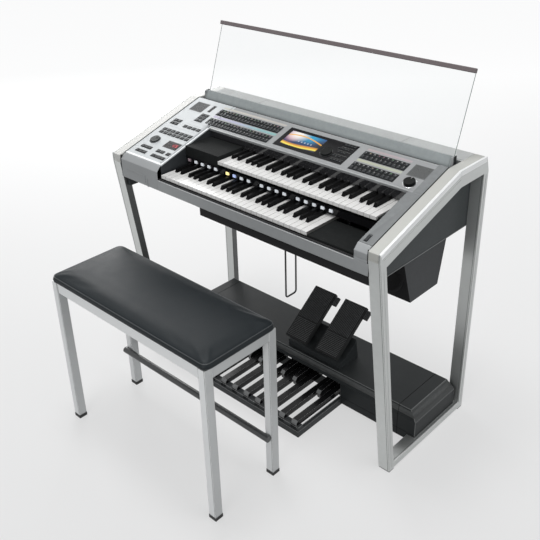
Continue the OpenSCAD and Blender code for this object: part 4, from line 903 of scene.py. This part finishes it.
def soft_spot(x, y, wide, high, reach):
    # A round glow that fades from its middle
    dx = sum_node(pt, "DIVIDE", sum_node(pt, "SUBTRACT", picture_x, x), wide)
    dy = sum_node(pt, "DIVIDE", sum_node(pt, "SUBTRACT", picture_y, y), high)
    square = sum_node(pt, "ADD", sum_node(pt, "MULTIPLY", dx, dx), sum_node(pt, "MULTIPLY", dy, dy))
    return sum_node(pt, "SUBTRACT", 1.0 + reach, sum_node(pt, "SQRT", square), clamp=True)


def ribbon(base, swing, turns, shift, wide):
    # A waving band from side to side
    angle = sum_node(pt, "ADD", sum_node(pt, "MULTIPLY", picture_x, turns), shift)
    wave = sum_node(pt, "MULTIPLY", sum_node(pt, "SINE", angle), swing)
    off = sum_node(pt, "ABSOLUTE", sum_node(pt, "SUBTRACT", sum_node(pt, "SUBTRACT", picture_y, base), wave))
    return sum_node(pt, "MULTIPLY", sum_node(pt, "SUBTRACT", wide, off, clamp=True), 1.6 / wide, clamp=True)


view = over(pt, (0.004, 0.010, 0.045), (0.012, 0.10, 0.32), picture_y)
for colour, mask in (
    ((0.02, 0.36, 0.62), soft_spot(0.58, 0.86, 0.34, 0.42, 0.25)),
    ((0.80, 0.30, 0.36), soft_spot(0.14, 0.70, 0.24, 0.44, 0.1)),
    ((0.98, 0.95, 0.92), soft_spot(0.24, 0.84, 0.26, 0.40, 0.35)),
    ((0.005, 0.006, 0.012), soft_spot(1.02, 0.40, 0.26, 0.5, 0.3)),
    ((0.82, 0.36, 0.03), ribbon(0.16, 0.07, 4.2, 3.4, 0.12)),
    ((0.98, 0.80, 0.10), ribbon(0.10, 0.07, 4.2, 3.1, 0.07)),
    ((0.90, 0.45, 0.04), ribbon(0.62, 0.20, 3.0, 0.4, 0.05)),
):
    view = over(pt, view, colour, mask)
for k in range(5):
    view = over(pt, view, (0.82, 0.86, 0.92), soft_spot(0.40 + 0.09 * k, 0.42, 0.024, 0.06, 0.0))
feed(pt, screen_face, {
    "Base Color": (0.01, 0.01, 0.012, 1), "Roughness": 0.25, "Specular IOR Level": 0.3,
    "Emission Color": view, "Emission Strength": 0.9,
})
dressed("display_screen", picture, 0.0)

display_print = finish("display_print", (0.10, 0.11, 0.10), (0.16, 0.17, 0.16), 0.4, wear_highlight=0.0)
row_depths = (303, 323.5, 343.5, 363.5, 383.5)
laid("display_lines", display_print, [(184, 236, depth, depth + 0.7, 0.6, 0.12) for depth in row_depths])

# Dials
# Turned knobs: a ribbed black volume knob in a bright ring, a tempo dial with a finger
# dimple on the pale panel, and the data dial on the display console.


def around_tree():
    # Copies of one small shape set round an axis: the shape, how many, its material
    tree, given = copying_tree("round_an_axis", (("Count", "NodeSocketInt", 12),))
    values = {"Count": given["Count"], "Offset": (0, 0, 0)}
    points = wired(tree, "GeometryNodeMeshLine", values, mode="OFFSET")
    index = wired(tree, "GeometryNodeInputIndex").outputs[0]
    angle = sum_node(tree, "MULTIPLY", sum_node(tree, "DIVIDE", index, given["Count"]), 2 * math.pi)
    copies = wired(tree, "GeometryNodeInstanceOnPoints", {
        "Points": points.outputs["Mesh"], "Instance": given["Geometry"],
        "Rotation": wired(tree, "ShaderNodeCombineXYZ", {"Z": angle}).outputs[0],
    })
    return realised(tree, given, copies.outputs["Instances"])


round_an_axis = around_tree()


def ringed(name, shell, material, count, lie, body, slot):
    # The shape drawn out along x in shell, set round the axis of a frame
    obj = copied(name, shell, round_an_axis, {"Count": count, "Material": material})
    obj.data.transform(lie)
    return keep(obj, material, body, slot)


def lathe(shell, lie, outline, sides=48):
    # A turned shape from a closed outline of radius and height in millimetres
    rings = []
    for k in range(sides):
        angle = 2 * math.pi * k / sides
        rings.append([
            shell.verts.new(lie @ Vector((r / 1000 * math.cos(angle), r / 1000 * math.sin(angle), z / 1000)))
            for r, z in outline
        ])
    for k in range(sides):
        here, there = rings[k], rings[(k + 1) % sides]
        for j in range(len(outline)):
            n = (j + 1) % len(outline)
            shell.faces.new((here[j], there[j], there[n], here[n]))
    bmesh.ops.remove_doubles(shell, verts=shell.verts, dist=0.000001)


knob_dark = finish(
    "knob_dark", (0.003, 0.004, 0.004), (0.006, 0.007, 0.007), 0.4, shine=0.05, grain_size=1400,
)
dial_grey = finish(
    "dial_grey", (0.030, 0.034, 0.034), (0.045, 0.049, 0.049), 0.45, shine=0.15, grain_size=1600,
)
volume_place, tempo_place, data_place = (502, 295), (-514, 127.6), (155, 317.5)
for node, skin in (("data_dial", knob_dark), ("volume_knob", knob_dark), ("tempo_dial", dial_grey)):
    dressed(node, skin, 0.0012)
for node, place, radius, high, ribs, material in (
    ("volume_knob", volume_place, 19, 11, 48, knob_dark),
    ("tempo_dial", tempo_place, 19, 5, 40, dial_grey),
    ("data_dial", data_place, 21, 6, 48, knob_dark),
):
    corners = (radius - 1.1, -0.45, 1.2), (radius - 0.1, 0.45, high - 2.0)
    rib = boxes(corners, turned=Matrix.Identity(4))
    ringed(node + "_ribs", rib, material, ribs, on_slope(*place, 1.0), bodies_of[node], "knob_dark")
chrome = finish("ring_chrome", (0.62, 0.63, 0.64), (0.72, 0.73, 0.74), 0.14, metal=1.0, wear_highlight=0.0)
ring_dark = finish("ring_dark", (0.05, 0.055, 0.055), (0.08, 0.085, 0.085), 0.25, metal=0.6, wear_highlight=0.0)
for name, material, lie, outline in (
    ("volume_ring", chrome, on_slope(*volume_place), (
        (19.6, 0), (22.6, 0), (22.4, 0.9), (21.4, 1.3), (19.6, 1.1),
    )),
    ("tempo_ring", well_black, on_slope(*tempo_place), ((19.6, 0), (21.8, 0), (21.6, 0.7), (19.6, 0.9))),
    ("data_ring", ring_dark, on_slope(*data_place, 0.6), ((21.4, 0), (23.2, 0), (23.0, 0.6), (21.4, 0.8))),
):
    ring = bmesh.new()
    lathe(ring, lie, outline)
    made(name, ring, material)
dimple = bmesh.new()
lathe(dimple, on_slope(-508, 134, 6.0), ((0, 0), (5.2, 0), (5.2, 0.25), (4.4, 0.3), (0, 0.12)), sides=28)
made("tempo_dimple", dimple, knob_dark, body=bodies_of["tempo_dial"], slot="knob_dark")
pointer = boxes(((-0.6, 11, 11.95), (0.6, 18, 12.2)), turned=on_slope(*volume_place))
made("volume_pointer", pointer, pointer_and_highlight, body=bodies_of["volume_knob"], slot="knob_dark")

# Number readout
# A smoked window with three red figures of lit bars, and the card slot beyond it.
smoked = finish(
    "smoked_window", (0.016, 0.012, 0.013), (0.024, 0.019, 0.020), 0.2, coat=0.1, shine=0.2, wear_highlight=0.0,
    dusty=0.02,
)
dressed("led_readout", smoked, 0.0006)
figures = bmesh.new()
bars = {
    "top": (0.8, 13.2, 6.2, 14.4), "middle": (0.8, 6.6, 6.2, 7.8), "low": (0.8, 0.0, 6.2, 1.2),
    "upper_left": (0.0, 7.6, 1.2, 13.4), "upper_right": (5.8, 7.6, 7.0, 13.4),
    "lower_left": (0.0, 1.0, 1.2, 6.8), "lower_right": (5.8, 1.0, 7.0, 6.8),
}
first_left, figure_pitch, low_edge = 34, 10.5, 12
for k, lit in enumerate((
    ("upper_right", "lower_right"),
    ("top", "upper_right", "middle", "lower_left", "low"),
    ("top", "middle", "low", "upper_left", "upper_right", "lower_left", "lower_right"),
)):
    left = first_left + figure_pitch * k
    for part in lit:
        x0, y0, x1, y1 = bars[part]
        low, high = (left + x0, low_edge + y0, 0), (left + x1, low_edge + y1, 0.2)
        slab(figures, low, high, turned=on_slope(-452, 110, 0.9))
figure_red, tree, lit_bar = blank("figure_red")
red_light = over(tree, (0.48, 0.04, 0.06), (0.80, 0.10, 0.12), noise(tree, object_place(tree), 400))
feed(tree, lit_bar, {
    "Base Color": (0.5, 0.05, 0.06, 1), "Emission Color": red_light, "Emission Strength": 0.8,
})
made("readout_figures", figures, figure_red, slot="screen")

# Grilles
# Square plates at both ends of the panels over the high-tone loudspeakers, with close rows
# of small holes shown as dark discs laid on the plates, their dark a painted shade.
grille_skin = finish(
    "grille_skin", (0.12, 0.124, 0.124), (0.15, 0.154, 0.154), 0.45, metal=0.2, shine=0.15,
    grain_size=2600, wear_highlight=0.2,
)
dressed("tweeter_grilles", grille_skin, 0.0006)
# Dark discs that stand for the holes: painted shade
hole_shade = finish(
    "hole_shade", (0.050, 0.051, 0.051), (0.065, 0.066, 0.066), 0.8, shine=0.1, wear_highlight=0.0, dusty=0.0,
)
hole_pitch = 0.003
hole_up = Vector((0, hole_pitch * math.cos(slope), hole_pitch * math.sin(slope)))
for side, x0 in (("left", -540), ("right", 470)):
    hole = bmesh.new()
    bmesh.ops.create_cone(
        hole, cap_ends=True, segments=8, radius1=0.0010, radius2=0.0010, depth=0.0003,
        matrix=on_slope(x0, 330.2) @ Matrix.Translation((0, 0, 0.0001)),
    )
    repeated(f"{side}_grille_holes", hole, hole_shade, 21, 18, (hole_pitch, 0, 0), hole_up)

# Manuals
# Two rows of moulded keys on steel chassis: ivory naturals and satin black sharps, with
# the electronics on a board behind the lower keys.
ivory = finish(
    "ivory_white", (0.62, 0.612, 0.598), (0.68, 0.672, 0.658), 0.25, coat=0.15, grain_size=500,
    grain_depth=0.03, wear_highlight=0.1, dusty=0.0,
)
# A dark finish for the naturals' side faces: painted shade in the gaps between the keys
key_side_shade = finish(
    "key_side_shade", (0.10, 0.098, 0.094), (0.14, 0.137, 0.131), 0.6, shine=0.1, grain_size=500, wear_highlight=0.0,
    dusty=0.0,
)
ebony = finish(
    "ebony_black", (0.0022, 0.0022, 0.0025), (0.0042, 0.0042, 0.0046), 0.3, shine=0.06, grain_depth=0.08,
    wear_highlight=0.1, dusty=0.0,
)
chassis_steel = finish(
    "chassis_steel", (0.3, 0.31, 0.32), (0.4, 0.41, 0.42), 0.4, metal=0.9, grain_size=1200,
)
first_key_side, last_key_side = -0.3505, 0.4944
# The naturals' side faces take painted shade
for node in ("lower_naturals", "upper_naturals"):
    painted(dressed(node, ivory, 0.0011, 3), (key_side_shade, lambda face: (
        abs(face.normal.x) > 0.9 and first_key_side < face.center.x < last_key_side
    )))
for node in ("lower_sharps", "upper_sharps"):
    dressed(node, ebony, 0.0016, 3)
for node in ("lower_key_chassis", "upper_key_chassis"):
    dressed(node, chassis_steel, 0.0004)
board_green = finish(
    "board_green", (0.01, 0.07, 0.03), (0.016, 0.10, 0.045), 0.35, coat=0.3, grain_size=300,
)
boards, supply_edge, board_top = dressed("main_board", board_green, 0.0), -0.37, 0.7691
painted(boards, (chassis_steel, lambda face: face.center.x < supply_edge and face.center.z > board_top))
chip = boxes(((-150, 265, 781.0), (-132, 283, 783.4)))
capacitor = bmesh.new()
bmesh.ops.create_cone(
    capacitor, cap_ends=True, segments=16, radius1=0.005, radius2=0.005, depth=0.014,
    matrix=Matrix.Translation(at(-120, 292, 788)),
)
chip_black = finish("chip_black", (0.012, 0.012, 0.013), (0.02, 0.02, 0.021), 0.5)
capacitor_blue = finish("capacitor_blue", (0.02, 0.05, 0.14), (0.03, 0.07, 0.2), 0.3)
for name, shape, skin, rows in (
    ("board_chips", chip, chip_black, 5), ("board_capacitors", capacitor, capacitor_blue, 1),
):
    repeated(name, shape, skin, 9, rows, (0.044, 0, 0), (0, 0.036, 0), slot="electronics")

# Music rest
# A clear acrylic sheet held in a grey rail that lies in a trough behind the panels and
# leans back on pins, with a brown plastic bar along its top.
rail_skin = finish(
    "rail_skin", (0.235, 0.26, 0.262), (0.275, 0.30, 0.302), 0.42, metal=0.2, shine=0.4, grain_size=2000,
)
bar_skin = finish(
    "bar_skin", (0.105, 0.088, 0.090), (0.145, 0.12, 0.124), 0.4, shine=0.4, grain_size=1200, wear_highlight=0.5,
)
dressed("rest_channel", grey_skin, 0.0006)
seams = [((x - 0.5, 420, 985), (x + 0.5, 470, 1040)) for x in (-552, 552)]
dressed("rest_holder", rail_skin, 0.0016, 3, cutter=boxes(*seams))
dressed("rest_top_bar", bar_skin, 0.002, 3)
acrylic, tree, clear = blank("clear_acrylic")
haze = noise(tree, object_place(tree), 14, 5)
feed(tree, clear, {
    "Transmission Weight": 1, "IOR": 1.46, "Roughness": span(tree, haze, to_high=0.03),
    "Base Color": over(tree, (0.965, 0.972, 0.975), (0.945, 0.958, 0.96), haze),
})
acrylic_edge = finish(
    "acrylic_edge", (0.10, 0.16, 0.14), (0.16, 0.22, 0.20), 0.25, coat=0.4, wear_highlight=0.0, dusty=0.0,
)
painted(dressed("rest_sheet", acrylic, 0.0007), (acrylic_edge, lambda face: abs(face.normal.x) > 0.7))
rest_caps = [((x - 0.5, 441, 1004), (x + 0.5, 458, 1031.5)) for x in (-561.9, 561.9)]
made("rest_end_caps", boxes(*rest_caps), matt_black, body="music_rest", slot="rest_rail")

# Power switch
# A small black rocker in the right cheek, in a shallow frame.
switch_rims = ((529.0, 529.8, 31, 60), (540.2, 541, 31, 60), (529.0, 541, 30, 31), (529.0, 541, 60, 61))
laid("power_frame", matt_black, [(*rim, 0.0, 0.5) for rim in switch_rims], width=0.0001)

# Loudspeaker
# A dark laminate box that tapers down under the console, with a paper-coned driver let
# into its front and held by four screws.
box_skin = finish(
    "box_skin", (0.036, 0.038, 0.041), (0.048, 0.051, 0.054), 0.45, shine=0.15, grain_size=1500, wear_highlight=0.5,
)
cabinet = dressed("speaker_box", box_skin, 0.0018, 3)
baffle = finish(
    "baffle_black", (0.007, 0.007, 0.008), (0.012, 0.012, 0.013), 0.6, shine=0.08, grain_size=1500,
)
painted(cabinet, (baffle, lambda face: face.normal.y < -0.6))
paper_cone = finish(
    "paper_cone", (0.008, 0.008, 0.009), (0.014, 0.014, 0.015), 0.7, shine=0.1, grain_size=700,
    grain_depth=0.6,
)
dressed("speaker_driver", paper_cone, 0.0)

# Knee lever
# A bent steel wire in black that hangs from a barrel under the bottom board.
wire_black = finish("wire_black", (0.014, 0.014, 0.015), (0.022, 0.022, 0.023), 0.3, shine=0.45)
dressed("knee_lever", wire_black, 0.0)

# Pedal base
# A long hollow moulding between the frames, bevelled along its front and back, in three
# covers with open joints between them.
base_skin = finish(
    "base_skin", (0.016, 0.0185, 0.0195), (0.024, 0.027, 0.028), 0.42, shine=0.12, grain_size=1200,
    wear_highlight=0.6, dusty=0.02,
)
# Paler copies of the moulding for the chamfers and the rounded edges: painted highlights
base_chamfer_highlight = finish(
    "base_chamfer_highlight", (0.042, 0.045, 0.045), (0.058, 0.061, 0.061), 0.38, shine=0.2, grain_size=1200,
    wear_highlight=0.6, dusty=0.02,
)
base_edge_highlight = finish(
    "base_edge_highlight", (0.10, 0.104, 0.104), (0.14, 0.144, 0.144), 0.35, shine=0.3, grain_size=1200, wear_highlight=0.3,
    dusty=0.0,
)
joint_black = finish(
    "joint_black", (0.004, 0.004, 0.004), (0.007, 0.007, 0.007), 0.7, shine=0.05, wear_highlight=0.0, dusty=0.0,
)
base = dressed("pedal_base", base_skin, 0.0022, 3)
narrow, lengthy, ledge_high = 0.0014, 0.02, 0.03


def edge_face(face):
    # One of the long narrow faces along a rounded edge
    corners = [base.data.vertices[index].co for index in face.vertices]
    sides = [(here - there).length for here, there in zip(corners, corners[1:] + corners[:1])]
    return len(sides) == 4 and min(sides) < narrow and max(sides) > lengthy and face.center.z > ledge_high


# Chamfers and rounded edges take the paler finishes, and a band over the rounded top front too: painted
# highlights
painted(base, (base_edge_highlight, edge_face), (base_chamfer_highlight, lambda face: 0.2 < face.normal.z < 0.95))
for name, axis, value, wide, material, proud in (
    ("base_joint_0", (1, 0, 0), -0.494, 0.0018, joint_black, 0.0003),
    ("base_joint_1", (1, 0, 0), 0.528, 0.0018, joint_black, 0.0003),
    ("base_top_band", (0, 0, 1), 0.1265, 0.021, base_chamfer_highlight, 0.0002),
    ("base_ledge_line", (0, 0, 1), 0.0433, 0.0014, joint_black, 0.0003),
):
    surface_band(name, base, axis, value, wide, material, "base_dark", proud=proud)

# Pedalboard
# A low frame with gloss black pedals: long naturals, and short raised sharps behind.
pedal_black = finish(
    "pedal_black", (0.0025, 0.0025, 0.003), (0.005, 0.005, 0.0055), 0.2, shine=0.22, grain_depth=0.05,
    wear_highlight=0.2, dusty=0.0,
)
frame_grey = finish(
    "frame_grey", (0.032, 0.035, 0.037), (0.045, 0.048, 0.050), 0.4, shine=0.15, grain_size=1300,
    wear_highlight=0.6,
)
dressed("pedalboard_frame", frame_grey, 0.0012, cutter=boxes(((-450, 48, 43.2), (272, 49.4, 46))))
# Paler finishes for the pedals' front ends and the rounded edges along their tops: painted highlights
pedal_tip_highlight = finish("pedal_tip_highlight", (0.13, 0.133, 0.134), (0.19, 0.193, 0.194), 0.25, wear_highlight=0.2, dusty=0.0)
pedal_shine = finish("pedal_shine", (0.32, 0.325, 0.325), (0.40, 0.405, 0.405), 0.3, wear_highlight=0.0, dusty=0.0)
frame_highlight_line = finish("frame_highlight_line", (0.20, 0.205, 0.205), (0.25, 0.255, 0.255), 0.4, grain_size=1300)
# Pale lines along the frame's front and side: painted highlights
lines = bmesh.new()
for z in (24.5, 43.6):
    slab(lines, (-447.2, 35.8, z), (269.6, 36.4, z + 1.2))
    slab(lines, (269.2, 36.2, z), (270.0, 273, z + 1.2))
# The pedals' tips and top edges take painted highlights
for node in ("natural_pedals", "sharp_pedals"):
    painted(
        dressed(node, pedal_black, 0.0026, 3),
        (pedal_tip_highlight, lambda face: face.normal.y < -0.5 and face.normal.z > -0.2),
        (pedal_shine, lambda face: 0.3 < face.normal.z < 0.97 and abs(face.normal.x) > 0.25),
    )
made("pedalboard_highlight_lines", lines, frame_highlight_line, slot="base_dark")

# Expression pedals
# Two rubber-faced shoes in a moulded housing: ribs along the toe, ribs across the heel,
# and a small ribbed lever beside each toe.
shoe_rubber = finish(
    "shoe_rubber", (0.011, 0.012, 0.012), (0.019, 0.020, 0.020), 0.55, shine=0.12, grain_size=1100,
    wear_highlight=0.5, dusty=0.02,
)
dressed("expression_housing", base_skin, 0.0015)
# The ribs are a paler copy of the shoe rubber: a painted highlight on the rib tops
rib_rubber_highlight = finish(
    "rib_rubber_highlight", (0.040, 0.042, 0.043), (0.060, 0.062, 0.063), 0.36, shine=0.4, grain_size=1100,
    wear_highlight=0.5, dusty=0.0,
)
shoe_tilt = math.radians(37)
for name, x0 in (("left", -6), ("right", 143)):
    shoe, lever = f"{name}_expression_pedal", f"{name}_toe_switch"
    dressed(shoe, shoe_rubber, 0.0018)
    dressed(lever, shoe_rubber, 0.0015)
    lie = Matrix.Translation(at(x0, 278, 200)) @ Matrix.Rotation(shoe_tilt, 4, "X")
    along_shoe = lie.to_3x3() @ Vector((0, 1, 0))
    for part, rider, low, high, columns, rows, pitch in (
        ("toe_ribs", shoe, (5.0, 92, -0.3), (7.4, 222, 1.5), 15, 1, 0.0064),
        ("heel_ribs", shoe, (5.0, 7, -0.3), (98, 9.2, 1.5), 1, 13, 0.0063),
        ("lever_ribs", lever, (107.4, 186, -2.3), (123.4, 187.6, -1.0), 1, 10, 0.0035),
    ):
        rib = boxes((low, high), turned=lie)
        repeated(
            f"{name}_{part}", rib, rib_rubber_highlight, columns, rows, (pitch, 0, 0), along_shoe * pitch,
            body=bodies_of[rider], slot="shoe_black",
        )

# Bench
# A welded frame of square silver tube with a plate apron, black caps pushed on the feet
# and a dark round stretcher plugged between the back legs.
bench_paint = finish(
    "bench_paint", (0.46, 0.472, 0.475), (0.52, 0.532, 0.535), 0.4, metal=0.7, grain_size=1500,
    grain_depth=0.1, wear_highlight=0.5,
)
seams = bmesh.new()
for x in (-411, 301):
    for depth in (-427, -131):
        slab(seams, (x - 0.6, depth - 1, 549), (x + 0.6, depth + 3, 590))
for depth in (-397, -159):
    for x in (-441, 329):
        slab(seams, (x - 1, depth - 0.6, 549), (x + 3, depth + 0.6, 590))
stand = dressed("bench_frame", bench_paint, 0.0026, cutter=seams)
# A paler copy of the paint for the faces turned to the front: painted light, the front lit more than the
# sides
bench_front_lit_paint = finish(
    "bench_paint_front_lit", (0.80, 0.81, 0.81), (0.86, 0.87, 0.87), 0.45, grain_size=1500, grain_depth=0.1,
    wear_highlight=0.3,
)
caps_high, apron_low = 0.0142, 0.55
painted(
    stand,
    (foot_rubber, lambda face: face.center.z < caps_high),
    (bench_front_lit_paint, lambda face: face.normal.y < -0.85),
    (corner_line, lambda face: (
        min(abs(face.normal.x), abs(face.normal.y)) > 0.3 and face.center.z < apron_low
    )),
)
for k, x in enumerate((-0.4142, 0.3266)):
    surface_band(
        f"bench_corner_line_{k}", stand, (1, 0, 0), x, 0.0013, corner_line, "bench_silver", body="bench",
        proud=0.0002,
    )
stretcher_black = finish(
    "stretcher_black", (0.022, 0.024, 0.025), (0.034, 0.036, 0.037), 0.28, coat=0.2, grain_size=1100,
)
dressed("bench_stretcher", stretcher_black, 0.0006)

# Bench cushion
# A boxed foam pad in dark slate leathercloth, crowned on top, its top panel sewn to the
# side band with a narrow welt.
leather, tree, hide = blank("slate_leathercloth")
place = object_place(tree)
pebble = wired(tree, "ShaderNodeTexVoronoi", {"Vector": place, "Scale": 620}, feature="DISTANCE_TO_EDGE")
crease = noise(tree, place, 26, 7)
folds = wired(tree, "ShaderNodeBump", {"Height": crease, "Strength": 0.12, "Distance": 0.003})
pores = wired(tree, "ShaderNodeBump", {"Height": pebble.outputs["Distance"], "Strength": 0.35})
feed(tree, pores, {"Distance": 0.0006, "Normal": folds.outputs["Normal"]})
slate = over(tree, (0.008, 0.011, 0.013), (0.013, 0.017, 0.020), crease)
gloss = span(tree, crease, to_low=0.38, to_high=0.54)
normal = pores.outputs["Normal"]
feed(tree, hide, {"Base Color": slate, "Roughness": gloss, "Specular IOR Level": 0.18, "Normal": normal})

pad_low, pad_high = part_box("bench_cushion")
pad_mid = (pad_low + pad_high) / 2
pad = dressed("bench_cushion", leather, 0.0)
still, foam_parts, most_swell = (pad_mid.x, pad_mid.y, pad_low.z), (0.992, 0.980, 0.93), 0.0035
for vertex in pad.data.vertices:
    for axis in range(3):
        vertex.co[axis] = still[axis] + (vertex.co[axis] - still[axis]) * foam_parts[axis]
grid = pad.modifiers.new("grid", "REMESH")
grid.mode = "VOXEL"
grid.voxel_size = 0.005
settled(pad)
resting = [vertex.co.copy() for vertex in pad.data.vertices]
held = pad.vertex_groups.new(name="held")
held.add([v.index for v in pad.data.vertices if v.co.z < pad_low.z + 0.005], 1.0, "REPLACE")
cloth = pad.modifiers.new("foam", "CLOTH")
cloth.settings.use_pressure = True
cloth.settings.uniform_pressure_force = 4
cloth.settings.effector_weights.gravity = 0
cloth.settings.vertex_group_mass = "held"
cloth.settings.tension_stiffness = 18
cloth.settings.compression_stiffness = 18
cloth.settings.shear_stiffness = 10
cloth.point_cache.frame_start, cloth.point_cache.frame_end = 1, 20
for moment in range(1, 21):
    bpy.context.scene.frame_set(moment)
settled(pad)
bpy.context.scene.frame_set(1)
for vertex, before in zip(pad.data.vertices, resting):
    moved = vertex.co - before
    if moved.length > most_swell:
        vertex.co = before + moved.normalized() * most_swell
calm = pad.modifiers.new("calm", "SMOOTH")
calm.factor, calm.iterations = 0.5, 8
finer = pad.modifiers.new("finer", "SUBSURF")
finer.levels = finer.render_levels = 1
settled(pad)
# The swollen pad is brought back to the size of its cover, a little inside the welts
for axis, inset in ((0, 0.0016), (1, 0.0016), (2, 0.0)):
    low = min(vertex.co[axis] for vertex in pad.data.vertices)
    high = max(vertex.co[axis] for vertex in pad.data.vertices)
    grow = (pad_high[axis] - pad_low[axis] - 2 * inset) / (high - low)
    for vertex in pad.data.vertices:
        vertex.co[axis] = pad_low[axis] + inset + (vertex.co[axis] - low) * grow
for polygon in pad.data.polygons:
    polygon.use_smooth = True
pad.data.materials.clear()
pad.data.materials.append(leather)


def hooped(shell, points, radius, sides=8):
    # A round cord that follows a closed line of points
    count = len(points)
    rings = []
    for k, point in enumerate(points):
        along = (points[(k + 1) % count] - points[k - 1]).normalized()
        side = along.cross(Vector((0, 0, 1))).normalized()
        rise = side.cross(along)
        rings.append([
            shell.verts.new(point + radius * (math.cos(a) * side + math.sin(a) * rise))
            for a in (2 * math.pi * j / sides for j in range(sides))
        ])
    for k in range(count):
        here, there = rings[k], rings[(k + 1) % count]
        for j in range(sides):
            n = (j + 1) % sides
            shell.faces.new((here[j], there[j], there[n], here[n]))


def outline_at(obj, height, spacing=0.006):
    # The line round a piece at one height, as evenly spaced points
    shell = bmesh.new()
    shell.from_mesh(obj.data)
    cut = bmesh.ops.bisect_plane(
        shell, geom=shell.verts[:] + shell.edges[:] + shell.faces[:],
        plane_co=(0, 0, height), plane_no=(0, 0, 1), clear_outer=True,
    )["geom_cut"]
    edges = [part for part in cut if isinstance(part, bmesh.types.BMEdge)]
    around = {}
    for edge in edges:
        for here, there in (edge.verts, reversed(edge.verts)):
            around.setdefault(here, []).append(there)
    start = edges[0].verts[0]
    line, previous, current = [start.co.copy()], start, around[start][0]
    while current is not start and len(line) <= len(edges):
        line.append(current.co.copy())
        onward = [vert for vert in around[current] if vert is not previous]
        previous, current = current, onward[0]
    shell.free()
    spaced, run = [line[0]], 0.0
    for here, there in zip(line, line[1:]):
        run += (there - here).length
        if run >= spacing:
            spaced.append(there)
            run = 0.0
    return spaced


# The welts are a paler leather than the cover: a painted highlight along the seams
welt_cord_highlight = finish(
    "welt_cord_highlight", (0.035, 0.04, 0.043), (0.055, 0.06, 0.063), 0.4, shine=0.3, grain_size=1500,
    grain_depth=0.5, dusty=0.0,
)
for name, z, radius in (("cushion_top_welt", 606.0, 1.5), ("cushion_low_welt", 590.4, 1.2)):
    welt = bmesh.new()
    hooped(welt, outline_at(pad, z / 1000), radius / 1000)
    made(name, welt, welt_cord_highlight, body="bench", slot="cushion")
